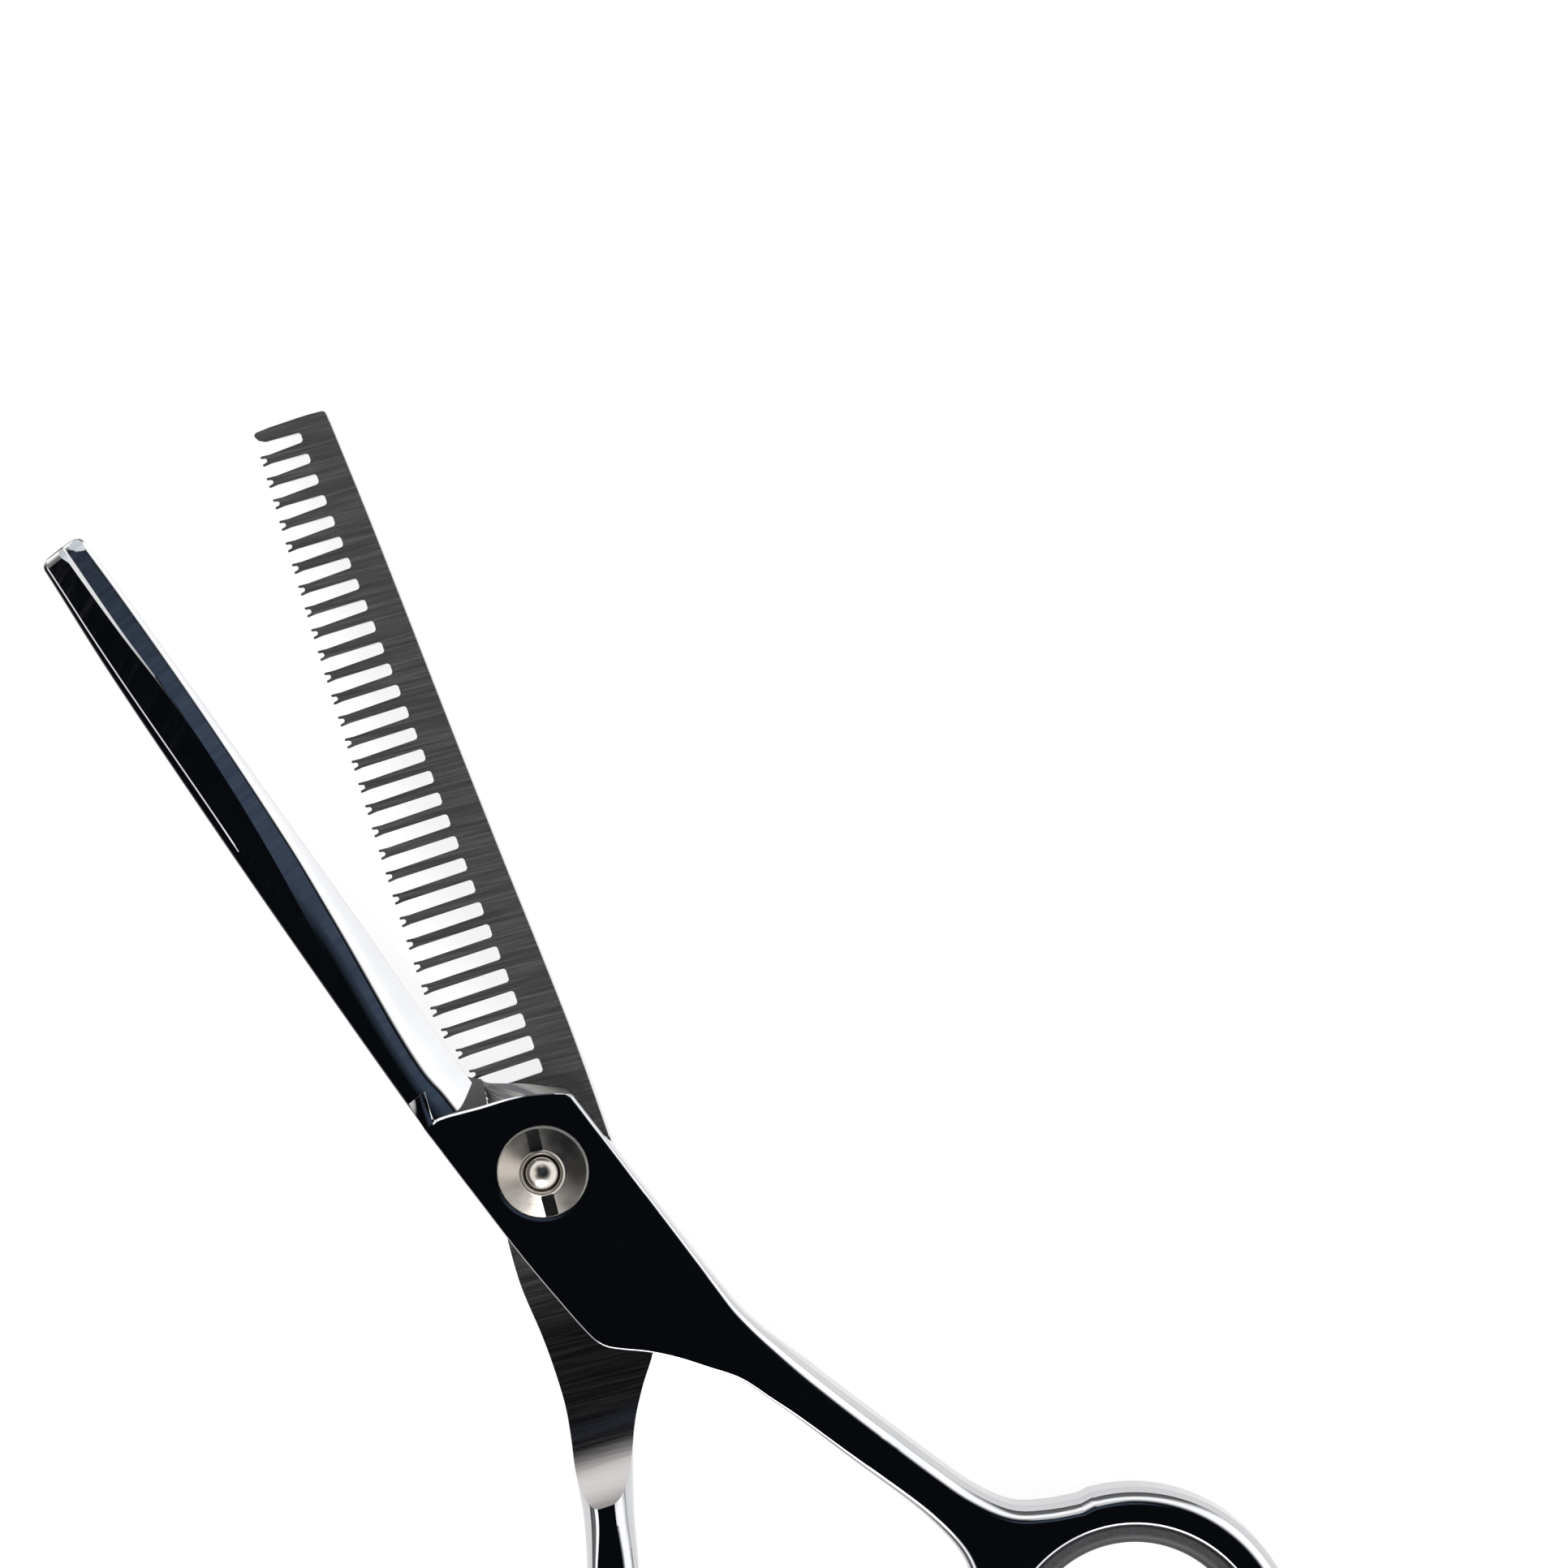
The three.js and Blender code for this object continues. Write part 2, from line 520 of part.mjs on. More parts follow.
// Rubber sizing ring with a softly rounded inner face.
function ringInsert(ring) {
  const outer = ring.bore - RING_FIT;
  const inner = ring.bore - INSERT_WALL;
  const low = (TOP - INSERT_HEIGHT) / 2;
  const high = TOP - low;
  const corner = 0.2; // chamfer against the ring
  const soft = 0.7; // width and
  const deep = 1.1; // depth of the rounding towards the finger
  return spin([
    [outer - corner, low], [outer, low + corner], [outer, high - corner], [outer - corner, high],
    [inner + soft, high], [inner + 0.3 * soft, high - 0.3 * deep], [inner, high - deep], [inner, low + deep],
    [inner + 0.3 * soft, low + 0.3 * deep], [inner + soft, low], [outer - corner, low],
  ]).translate(ring.x, ring.y, 0);
}

// Finger rest: a threaded stem, a collar on the boss and a tapered hook that bends outwards to a ball end.
function fingerRest() {
  const face = REST_BOSS + 0.05;
  const path = new THREE.CatmullRomCurve3(REST_PATH.map(([x, away]) => new THREE.Vector3(x, -face - away, 0)));
  const { root_r, waist, flatness, ball_r, steps, sides } = REST_HOOK;
  const sections = [];
  for (let i = 0; i <= steps; i++) {
    const t = i / steps;
    const middle = path.getPoint(t);
    const tangent = path.getTangent(t);
    const side = new THREE.Vector3(-tangent.y, tangent.x, 0);
    const wide = root_r - waist * Math.sin(Math.PI * Math.min(1, t * 1.15) ** 0.8) + 0.1 * t;
    const tall = wide * (flatness - 0.1 * t);
    const section = [];
    for (let k = 0; k < sides; k++) {
      const turn = (k / sides) * 2 * Math.PI;
      const across = side.clone().multiplyScalar(wide * Math.cos(turn));
      section.push(middle.clone().add(across).add(new THREE.Vector3(0, 0, tall * Math.sin(turn))));
    }
    sections.push(section);
  }
  const flat = (p) => new THREE.Vector2(p.x + p.y * 0.001, p.z);
  const hook = loft(sections, flat);
  const end = path.getPoint(1);
  const ball = new THREE.SphereGeometry(ball_r, 20, 12).rotateX(Math.PI / 2).translate(end.x, end.y, 0);
  const { r, height, soft } = REST_COLLAR;
  const stem = alongMinusY([
    [0, face - STEM_LENGTH], [STEM_R, face - STEM_LENGTH], [STEM_R, face], [r - 0.2, face], [r, face + soft],
    [r, face + height - soft], [r - soft, face + height], [0, face + height],
  ]);
  return toSolid(atRest(stem)).add(toSolid(atRest(hook))).add(toSolid(atRest(ball)));
}

// Bumper: a rubber plug with a domed head and a stem pressed into the thumb ring.
function bumper() {
  const { r, stem_r, stem } = BUMPER;
  const seat = THUMB_RING.outer - BUMPER.seat - BUMPER.sunk + SLIP;
  const end = THUMB_RING.outer + BUMPER.gap - BUMPER.clear;
  return atBumper(alongMinusY([
    [0, THUMB_RING.outer - stem], [stem_r, THUMB_RING.outer - stem], [stem_r, seat], [r, seat], [r, end - 0.7],
    [r - 0.25, end - 0.25], [r - 0.8, end], [0, end],
  ]));
}

// ---- Assembly ----
const shears = new THREE.Group();

const plainSide = new THREE.Group();
plainSide.rotation.z = (REST_OPENING / 2) * DEG;
plainSide.add(
  mesh("plain_blade_half", toGeometry(plainHalf()), POLISHED),
  mesh("pivot_bush", pivotBush(), NYLON),
  mesh("finger_ring_insert", ringInsert(FINGER_RING), RUBBER),
  mesh("finger_rest", toGeometry(fingerRest()), POLISHED),
);

const toothedSide = new THREE.Group();
toothedSide.rotation.z = (-REST_OPENING / 2) * DEG;
toothedSide.add(
  mesh("toothed_blade_half", toGeometry(toothedHalf()), POLISHED),
  mesh("pivot_stud", toGeometry(pivotStud()), NUT_STEEL),
  mesh("glide_washer", flatWasher(GLIDE, RIDE_LOW - GLIDE.sunk + AIR), NYLON),
  mesh("nylon_washer", flatWasher(NUT_WASHER, RECESS_FLOOR + AIR), NYLON),
  mesh("spring_washer", springWasher(), SPRING_STEEL),
  mesh("tension_nut", toGeometry(tensionNut()), NUT_STEEL),
  mesh("thumb_ring_insert", ringInsert(THUMB_RING), RUBBER),
  mesh("bumper", bumper(), RUBBER),
);

shears.add(plainSide, toothedSide);

export default shears;
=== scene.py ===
"""Thinning shears with mirror-polished halves, satin ride faces, a turned tension nut and rubber fittings.

Shapes are drawn in millimetres in each half's own frame, where y runs from the pivot towards the blade tip
and x across the blade, and are then turned into place and scaled to the frame's metres.
"""

import math
from bisect import bisect_right

import bmesh
import bpy
from mathutils import Matrix, Vector
from mathutils.geometry import tessellate_polygon


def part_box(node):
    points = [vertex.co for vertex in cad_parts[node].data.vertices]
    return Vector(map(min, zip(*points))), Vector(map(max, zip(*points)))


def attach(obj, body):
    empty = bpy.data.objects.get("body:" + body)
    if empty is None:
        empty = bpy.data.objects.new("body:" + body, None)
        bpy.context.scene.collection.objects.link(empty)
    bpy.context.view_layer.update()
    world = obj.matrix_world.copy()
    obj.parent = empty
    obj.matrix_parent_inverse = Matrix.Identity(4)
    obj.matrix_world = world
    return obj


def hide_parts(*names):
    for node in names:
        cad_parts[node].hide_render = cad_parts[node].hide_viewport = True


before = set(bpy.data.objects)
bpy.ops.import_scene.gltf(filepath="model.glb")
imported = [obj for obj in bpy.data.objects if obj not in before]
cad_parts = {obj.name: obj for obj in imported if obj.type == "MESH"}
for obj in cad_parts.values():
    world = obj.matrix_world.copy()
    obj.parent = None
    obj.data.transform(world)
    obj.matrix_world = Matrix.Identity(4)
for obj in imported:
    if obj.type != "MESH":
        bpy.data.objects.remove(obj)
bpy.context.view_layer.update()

# ---- Driving dimensions, mm and degrees ----
MM = 0.001
REST_TURN = 9.6  # each half's turn away from the frame's +Y
PLAIN, TOOTHED = 1, -1  # which way each half is turned
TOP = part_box("plain_blade_half")[1].z / MM
RIDE_LOW = 2.7  # ride face of the toothed half
RIDE_HIGH = 2.8  # ride face of the plain half
RIDE_END = -22.4  # where both ride faces start their run-out to the handles
RUN_OUT = 14  # radius of the run-outs, the grinding wheel's own
PLAIN_REACH = 72.3  # from the pivot to the tip of each blade
TOOTHED_REACH = 72.75
HALF_SHARP = 11  # degrees between faces that show as an edge on the two halves
FINGER_RING = {"x": 16, "y": -68.1, "outer": 15.3, "bore": 12}
THUMB_RING = {"x": -13.2, "y": -61.8, "outer": 14.7, "bore": 11.6}
BORE_ROUND = 0.3  # rounding of the rings' bores
RING_GAP = 4  # degrees between a handle's edge and the first point of its ring
HANDLE_STEP = 0.5  # between the points of a handle's edge
BOSS = {"height": 2.0, "spread": 11}  # the finger rest's boss: its rise, and its spread in degrees
INSERT = {"wall": 1.75, "slack": 0.06, "sunk": 0.45, "edge": 0.2, "round": 0.9}
CLOSED_OPENING = 2  # angle between the halves with the handles against the bumper
BUMPER = {"r": 2, "stem_r": 1.1, "stem": 1.6, "clear": 0.16, "seat": 0.3, "round": 0.7}
REST_AIM = -58  # direction of the finger rest's stem from the finger ring's middle
REST_FACE = 17.35  # the boss's face, from the finger ring's middle
REST_PATH = [(0, 0.6), (0.2, 4.5), (2.4, 9), (7.2, 12.4), (12.6, 13)]  # the hook, from the boss's face
STUD = {
    "head_r": 3.6, "head": 0.9, "shaft_r": 2.2, "shaft_top": 4.25, "thread_r": 1.5, "top": 6.68, "dome": 0.68,
}
KEY_HOLES = {"r": 0.45, "depth": 0.5, "at": 2.2}  # in the stud's head, for a pin spanner
PLAIN_BORES = [(4.45, 4.3, TOP + 1), (3.12, 1, TOP)]  # radius, from and to: the nut's recess, the bush's bore
TOOTHED_BORES = [  # the glide washer's recess, the shaft's bore and the head's recess
    (5.0, RIDE_LOW - 0.3, RIDE_LOW + 1), (2.26, -1, RIDE_LOW + 1), (3.66, -1, 0.96),
]
NUT_SLOT = {"start": 2.05, "end": 5, "half_width": 0.6, "floor": 5.55}
NUT_TURN = -4.7  # the slot's direction at rest
# The camera, in metres: its turn, its place across and up the picture, its height, and half the frame's width
# at its distance from the nut's face.
VIEW = {
    "roll": 28, "right": 0.02207, "up": 0.03548, "height": 0.3555, "distance": 0.350, "half_frame": 0.07155,
}


# ---- Curves ----
def along(y, table):
    """Reading at y of a smooth curve through a table of (y, value) pairs."""
    ys = [row[0] for row in table]
    if y <= ys[0]:
        return table[0][1]
    if y >= ys[-1]:
        return table[-1][1]
    i = bisect_right(ys, y) - 1

    def slope(k):
        low, high = max(k - 1, 0), min(k + 1, len(table) - 1)
        return (table[high][1] - table[low][1]) / (ys[high] - ys[low])

    width = ys[i + 1] - ys[i]
    t = (y - ys[i]) / width
    a = (1 + 2 * t) * (1 - t) ** 2
    b = t * (1 - t) ** 2
    c = t * t * (3 - 2 * t)
    d = t * t * (t - 1)
    return a * table[i][1] + b * width * slope(i) + c * table[i + 1][1] + d * width * slope(i + 1)


def curve(points, step):
    """Points about step apart on a smooth curve through the given ones."""
    lengths = [0.0]
    for a, b in zip(points, points[1:]):
        lengths.append(lengths[-1] + math.dist(a, b))
    count = max(2, round(lengths[-1] / step))
    tables = [[(s, p[axis]) for s, p in zip(lengths, points)] for axis in range(len(points[0]))]
    return [tuple(along(lengths[-1] * i / count, table) for table in tables) for i in range(count + 1)]


def curve_like(model, points, step):
    """Points on a curve that keep pace with those that curve() puts on the model."""
    index = curve([(*p, i) for i, p in enumerate(model)], step)
    tables = [[(i, p[axis]) for i, p in enumerate(points)] for axis in (0, 1)]
    return [tuple(along(place[2], table) for table in tables) for place in index]


def arc(cx, cy, r, start, end, step):
    """Points on an arc from start to end degrees."""
    count = max(2, math.ceil(abs(end - start) / step))
    angles = [math.radians(start + (end - start) * i / count) for i in range(count + 1)]
    return [(cx + r * math.cos(a), cy + r * math.sin(a)) for a in angles]


# ---- Solids ----
SAME_PLACE = 1e-4  # points this close are one
LEVEL = 1e-5  # faces that turn less than this, in radians, lie in one plane


def solid(name, points, faces):
    """A piece of the scene from its points and faces, with doubled points merged."""
    mesh = bpy.data.meshes.new(name)
    mesh.from_pydata([tuple(p) for p in points], [], faces)
    mesh.validate()
    piece = bpy.data.objects.new(name, mesh)
    bpy.context.scene.collection.objects.link(piece)
    work = bmesh.new()
    work.from_mesh(mesh)
    bmesh.ops.remove_doubles(work, verts=work.verts, dist=SAME_PLACE)
    bmesh.ops.dissolve_degenerate(work, dist=SAME_PLACE, edges=work.edges)
    bmesh.ops.recalc_face_normals(work, faces=work.faces)
    work.to_mesh(mesh)
    work.free()
    return piece


def loft(name, sections):
    """A closed skin over sections with equal point counts, with flat ends."""
    count = len(sections[0])
    points = [p for section in sections for p in section]
    faces = []
    for row in range(len(sections) - 1):
        for i in range(count):
            a, b = row * count + i, row * count + (i + 1) % count
            faces.append((a, b, b + count, a + count))
    last = (len(sections) - 1) * count
    faces.append(tuple(range(count)))
    faces.append(tuple(last + i for i in range(count)))
    return solid(name, points, faces)


def sweep_x(name, profile, left, right):
    """A prism along x over (y, z) points."""
    return loft(name, [[(x, y, z) for y, z in profile] for x in (left, right)])


def lathe(name, profile, sides=128):
    """A solid of revolution about z over (radius, z) points, closed at the axis or into a ring."""
    points, faces = [], []
    closed = profile[0][0] > 0
    for k in range(sides):
        turn = 2 * math.pi * k / sides
        points += [(r * math.cos(turn), r * math.sin(turn), z) for r, z in profile]
    rows = len(profile)
    for k in range(sides):
        a, b = k * rows, ((k + 1) % sides) * rows
        for i in range(rows if closed else rows - 1):
            j = (i + 1) % rows
            faces.append((a + i, b + i, b + j, a + j))
    return solid(name, points, faces)


def inward_normals(loop):
    """Unit normals at each point of a closed loop, pointing to its left, stretched at corners."""
    normals = []
    for i, p in enumerate(loop):
        before, after = loop[i - 1], loop[(i + 1) % len(loop)]
        a = Vector((p[0] - before[0], p[1] - before[1])).normalized()
        b = Vector((after[0] - p[0], after[1] - p[1])).normalized()
        middle = Vector((-a.y - b.y, a.x + b.x)).normalized()
        stretch = max(0.5, middle.dot(Vector((-a.y, a.x))))
        normals.append(middle / stretch)
    return normals


def quarter_round(steps):
    """Places round a quarter circle of radius 1, each as its distances in from the circle's two tangents."""
    turns = [math.pi / 2 * k / steps for k in range(steps + 1)]
    return [(1 - math.cos(t), 1 - math.sin(t)) for t in turns]


def plate(name, loops, low, high, round_low, round_high, steps=10):
    """A flat plate whose edges are rounded. loops is the outline anticlockwise and any holes clockwise;
    round_low(x, y) gives the rounding's radius there, round_high(x, y) its width and its height."""
    points, faces, bottoms, tops = [], [], [], []
    levels = 2 * (steps + 1)
    rounding = quarter_round(steps)
    for loop in loops:
        start = len(points)
        for (x, y), n in zip(loop, inward_normals(loop)):
            under = round_low(x, y)
            over, drop = round_high(x, y)
            for rise, inset in rounding:
                points.append((x + n.x * under * inset, y + n.y * under * inset, low + under * rise))
            for inset, fall in rounding:
                points.append((x + n.x * over * inset, y + n.y * over * inset, high - drop * fall))
        count = len(loop)
        for i in range(count):
            a, b = start + i * levels, start + (i + 1) % count * levels
            faces += [(a + k, b + k, b + k + 1, a + k + 1) for k in range(levels - 1)]
        bottoms.append([start + i * levels for i in range(count)])
        tops.append([start + i * levels + levels - 1 for i in range(count)])
    for rings in (bottoms, tops):
        flat = [[Vector((points[i][0], points[i][1], 0)) for i in ring] for ring in rings]
        index = [i for ring in rings for i in ring]
        faces += [tuple(index[i] for i in triangle) for triangle in tessellate_polygon(flat)]
    return solid(name, points, faces)


def combine(piece, other, operation):
    """Boolean of two solids; other is used up."""
    modifier = piece.modifiers.new("combine", "BOOLEAN")
    modifier.operation = operation
    modifier.solver = "EXACT"
    modifier.object = other
    graph = bpy.context.evaluated_depsgraph_get()
    result = bpy.data.meshes.new_from_object(piece.evaluated_get(graph))
    piece.modifiers.clear()
    piece.data = result
    bpy.data.objects.remove(other)


def drum(r, low, high, sides=128):
    """A round cutter about z."""
    return lathe("drum", [(0, low), (r, low), (r, high), (0, high)], sides)


def crisp_normals(mesh, sharp):
    """Normals that follow the larger faces around each corner, so that flats stay flat beside roundings."""
    limit = math.cos(math.radians(sharp))
    facing = [polygon.normal.copy() for polygon in mesh.polygons]
    pull = [(polygon.area / MM**2) ** 2 for polygon in mesh.polygons]
    around = [[] for _ in mesh.vertices]
    for polygon in mesh.polygons:
        for vertex in polygon.vertices:
            around[vertex].append(polygon.index)
    normals = []
    for polygon in mesh.polygons:
        own = facing[polygon.index]
        for vertex in polygon.vertices:
            total = Vector()
            for other in around[vertex]:
                if own.dot(facing[other]) > limit:
                    total += facing[other] * pull[other]
            normals.append(total.normalized())
    mesh.shade_smooth()
    mesh.normals_split_custom_set(normals)


def merge_flats(mesh):
    """Joins the triangles of each level face into large faces."""
    work = bmesh.new()
    work.from_mesh(mesh)
    bmesh.ops.dissolve_limit(work, angle_limit=LEVEL, verts=work.verts, edges=work.edges)
    work.to_mesh(mesh)
    work.free()


def finish(piece, half, body, material, replaced, turn=0.0, place=(0, 0, 0), sharp=30):
    """Smooth shading with crisp edges, the move from its own frame to the model's, and the frame's labels."""
    own = Matrix.Translation(Vector(place)) @ Matrix.Rotation(math.radians(turn), 4, "Z")
    world = Matrix.Scale(MM, 4) @ Matrix.Rotation(math.radians(half * REST_TURN), 4, "Z") @ own
    merge_flats(piece.data)
    piece.data.transform(world)
    crisp_normals(piece.data, sharp)
    piece.data.materials.clear()
    piece.data.materials.append(material)
    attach(piece, body)
    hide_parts(replaced)
    return piece


# ---- Plain half ----
# The shoulder in front of the hub: its upper edge up to the heel with the slope there, and beyond the heel
# its upper edge with its foot on the ride face.
SHOULDER_SLOPED = [
    (-7.4, 9.6, 0.06), (-5.1, 9.7, 0.06), (-4.8, 9.72, 0.4), (-4.5, 9.7, 0.93), (-3.6, 9.4, 0.95),
    (-2.4, 8.9, 0.95), (-1.1, 8.35, 0.95), (-0.2, 8.0, 0.98),
]
SHOULDER_EDGE = [(-0.2, 8.0), (0.6, 7.7), (1.7, 7.25), (3.2, 6.5), (5.3, 5.05), (6.6, 3.95), (7.3, 3.3)]
SHOULDER_FOOT = [(0.5, 10.3), (0.75, 9.55), (2.0, 8.5), (3.5, 7.3), (5.5, 5.35), (6.7, 4.1), (7.35, 3.4)]
SHOULDER_OUT = Vector((0.39, 0.92))  # the way the sloped part falls
SHOULDER_REACH = 4.0
SHOULDER_STEP = 0.25
SHOULDER_CHAMFER = 0.085
HEEL = (-0.1, 10.8)
HUB_FRONT = [(-0.4, 11.2), (-2.4, 12), (-4.2, 12.4), (-5.85, 12.4)]  # cut away again by the shoulder
# The half's outline behind the shoulder, from the hub round to the ring on the left, and back on the right.
PLAIN_LEFT = [
    (-6.15, 9.4), (-6.17, 2), (-6.15, -5), (-5.95, -10), (-5.6, -14.7), (-5.1, -16.1), (-4.1, -17.2),
    (-2.3, -18.9), (-0.6, -20.9), (1.0, -23.2), (2.8, -26), (3.8, -29), (4.75, -32), (6.4, -38), (8.1, -44),
    (8.75, -47), (9.05, -50), (8.85, -52), (8.1, -54), (7.0, -55.7),
]
PLAIN_RIGHT = [
    (20.6, -53.7), (17.9, -52.3), (15.5, -50.5), (13.7, -47.3), (12.6, -44), (10.9, -38), (9.25, -32),
    (7.7, -26), (7, -23), (6.6, -20), (6.5, -10), (6.5, 3.9),
]
# The blade at each y: x of its lines, widths of its facets, and its thickness.
PLAIN_EDGE = [(3, -0.3), (10.9, -0.3), (18, -0.1), (26, 0.36), (38, 0.82), (54, 1.38), (66, 1.72), (73, 1.8)]
PLAIN_SPINE = [
    (3, -6.15), (10, -6.1), (22, -5.72), (38, -5.03), (54, -4.15), (62, -3.6), (70, -2.85), (73, -2.6),
]
BEVEL_WIDTH = [(3, 2.2), (11, 2.25), (14, 2.5), (22, 2.05), (30, 1.42), (38, 0.85), (54, 0.36), (73, 0.2)]
RIDGE_LINE = [
    (3, -5.2), (12, -5.1), (20, -4.5), (30, -3.2), (39, -1.9), (47, -1.05), (55, -0.6), (63, -0.55),
    (73, -0.15),
]
GLINT_WIDTH = [(48, 0.01), (56, 0.12), (63, 0.24), (70, 0.4), (73, 0.45)]
GLINT_SLOPE = [(48, 0.2), (55, 0.26), (60, 0.32), (66, 0.35), (73, 0.35)]
SPINE_FACET = [(3, 0.25), (30, 0.45), (43, 0.68), (55, 0.6), (73, 0.3)]
PLAIN_THICK = [(3, 2.6), (9, 2.6), (14, 2.48), (25, 2.15), (40, 1.7), (55, 1.35), (73, 1.0)]
PLAIN_TILT = 0.09  # rise of the wide facet towards the ridge
BEVEL_SLOPE = 0.85  # steepest slope of the bright bevel
BLADE_START = 3
ROW_STEP = 0.6  # between the blade's sections
EDGE_LAND = 0.1  # thickness of the cutting edge
UNDER = -0.3  # the sections reach this far below the ride face, which the ride cutter trims
HOLLOW = {"bend": 0.5, "start": 26, "length": 18}  # the wide facet's bend, and where along the blade it fades
SPINE_FALL = {"slope": 0.06, "start": 10, "length": 10}  # from the ridge to the spine line, and where it sets in
SPINE_LINE = 0.12  # width of the bright line along the spine
SPINE_STEP = {"drop": 0.045, "start": 36, "length": 8}  # down across that line, and where it sets in
SPINE_CORNER = [(0.14, 0), (0.05, 0.05), (0, 0.15)]  # in from the spine, and down
END_FACET = {"x": -0.15, "y": 70, "fall_x": 0.146, "fall_y": 0.086}  # its corner on the ridge, and its slopes
TIP_ROUND = 0.85
TIP_LAND = 0.25  # the tip's rounding lowers only what is higher than this


def soft_minimum(a, b, blur):
    """The smaller of two numbers, blended where they are close."""
    return -blur * math.log(math.exp(-a / blur) + math.exp(-b / blur))


def ease(t):
    """A smooth step from 0 to 1."""
    t = min(1.0, max(0.0, t))
    return t * t * (3 - 2 * t)


def plain_section(y):
    """The blade at y: bright bevel, wide facet up to the ridge, and a darker facet down to the spine."""
    edge, spine = along(y, PLAIN_EDGE), along(y, PLAIN_SPINE)
    glint, glint_slope = along(y, GLINT_WIDTH), along(y, GLINT_SLOPE)
    ridge = along(y, RIDGE_LINE) + glint / 2
    span = edge - ridge
    bevel = along(y, BEVEL_WIDTH)
    hollow = HOLLOW["bend"] * (1 - set_in(y, HOLLOW)) / (span - bevel)
    crest = along(y, PLAIN_THICK) - glint_slope * glint - facet_rise(span - bevel, hollow)
    slope = min(BEVEL_SLOPE, (crest - EDGE_LAND) / bevel)
    land = crest - slope * bevel
    near, far = 0.7 * bevel, min(1.5 * bevel, 0.5 * (bevel + span))
    depths = [near * k / 6 for k in range(6)]
    depths += [near + (far - near) * k / 14 for k in range(14)]
    depths += [far + (span - far) * k / 10 for k in range(11)]
    points = [(edge, UNDER)]
    for d in depths:
        rise = soft_minimum(slope * d, slope * bevel + facet_rise(d - bevel, hollow), 0.04 + 0.06 * bevel)
        points.append((edge - d, land + rise))
    line = spine + along(y, SPINE_FACET) + SPINE_LINE
    x, z = points[-1]
    x, z = x - glint, z + glint_slope * glint
    points.append((x, z))
    z -= SPINE_FALL["slope"] * set_in(y, SPINE_FALL) * (x - line)
    points.append((line, z))
    z -= SPINE_STEP["drop"] * set_in(y, SPINE_STEP)
    points.append((line - SPINE_LINE, z))
    points += [(spine + inset, z - down) for inset, down in SPINE_CORNER]
    points += [(spine, 0.1), (spine + 0.1, UNDER)]
    return [(px, y, RIDE_HIGH + pz) for px, pz in points]


def set_in(y, feature):
    """0 before a feature's start, and 1 from its length further on."""
    return ease((y - feature["start"]) / feature["length"])


def facet_rise(d, hollow):
    """Rise of the wide facet at d from the bevel; hollow bends it level towards the ridge."""
    return PLAIN_TILT * d * (1 - hollow * max(0.0, d))


def plain_tip(turn):
    """Section of the blade's tip, turn degrees round its corners."""
    sink = 1 - math.cos(math.radians(turn))
    section = plain_section(PLAIN_REACH - TIP_ROUND * (1 - math.sin(math.radians(turn))))
    left, right = min(p[0] for p in section), max(p[0] for p in section)
    middle, half = (left + right) / 2, (right - left) / 2
    shrink = (half - TIP_ROUND * sink) / half
    lowest = RIDE_HIGH + TIP_LAND
    return [
        (middle + (x - middle) * shrink, y, z if z < lowest else lowest + (z - lowest) * (1 - 0.25 * sink))
        for x, y, z in section
    ]


def end_facet_height(x, y):
    """Height of the tilted plane of the small facet on the blade's end."""
    ridge = RIDE_HIGH + along(END_FACET["y"], PLAIN_THICK)
    return ridge - END_FACET["fall_x"] * (x - END_FACET["x"]) - END_FACET["fall_y"] * (y - END_FACET["y"])


def end_facet_cutter():
    """What lies above the small facet on the blade's end."""
    left, right = -4, 3
    sections = []
    for y in (END_FACET["y"] - 1, END_FACET["y"] + 3):
        low = [(x, y, end_facet_height(x, y)) for x in (left, right)]
        sections.append(low + [(right, y, TOP), (left, y, TOP)])
    return loft("end_facet", sections)


def plain_blade():
    """The plain blade, its rounded tip and the facet on its end."""
    rows = int((PLAIN_REACH - TIP_ROUND - BLADE_START) / ROW_STEP) + 1
    sections = [plain_section(BLADE_START + ROW_STEP * i) for i in range(rows)]
    sections += [plain_tip(turn) for turn in (0, 12, 25, 38, 52, 66, 80, 90)]
    blade = loft("plain_blade", sections)
    combine(blade, end_facet_cutter(), "DIFFERENCE")
    return blade


def shoulder_profile(x, y, out, drop, run):
    """Section of what lies above the shoulder: a bright chamfer, the slope down and the way out."""
    chamfer = min(SHOULDER_CHAMFER, drop / 4)
    behind = (x - 0.2 * out.x, y - 0.2 * out.y)
    profile = [(*behind, TOP + 1), (*behind, TOP + 0.0005)]
    steps = 12
    for k in range(steps + 1):
        t = k / steps
        z = TOP - chamfer - (drop - chamfer) * (1.1 * t - 0.1 * t * t)
        profile.append((x + out.x * run * t, y + out.y * run * t, z))
    far = (x + out.x * SHOULDER_REACH, y + out.y * SHOULDER_REACH)
    return profile + [(*far, TOP - drop), (*far, TOP + 1)]


def shoulder_cutter():
    """Everything above the sloping shoulder in front of the hub."""
    depth = TOP - RIDE_HIGH - 0.12
    sections = []
    for x, y, slope in curve(SHOULDER_SLOPED, SHOULDER_STEP):
        run = min(SHOULDER_REACH - 0.5, depth / slope)
        sections.append(shoulder_profile(x, y, SHOULDER_OUT, run * slope, run))
    edge = curve(SHOULDER_EDGE, SHOULDER_STEP)
    foot = curve_like(SHOULDER_EDGE, SHOULDER_FOOT, SHOULDER_STEP)
    for (x, y), (foot_x, foot_y) in zip(edge[1:], foot[1:]):
        out = Vector((foot_x - x, foot_y - y))
        sections.append(shoulder_profile(x, y, out.normalized(), depth, out.length))
    return loft("shoulder", sections)


def shoulder_foot():
    """The shoulder's outline on the ride face, from the heel to the right."""
    return [HEEL] + curve_like(SHOULDER_EDGE, SHOULDER_FOOT, SHOULDER_STEP)[1:]


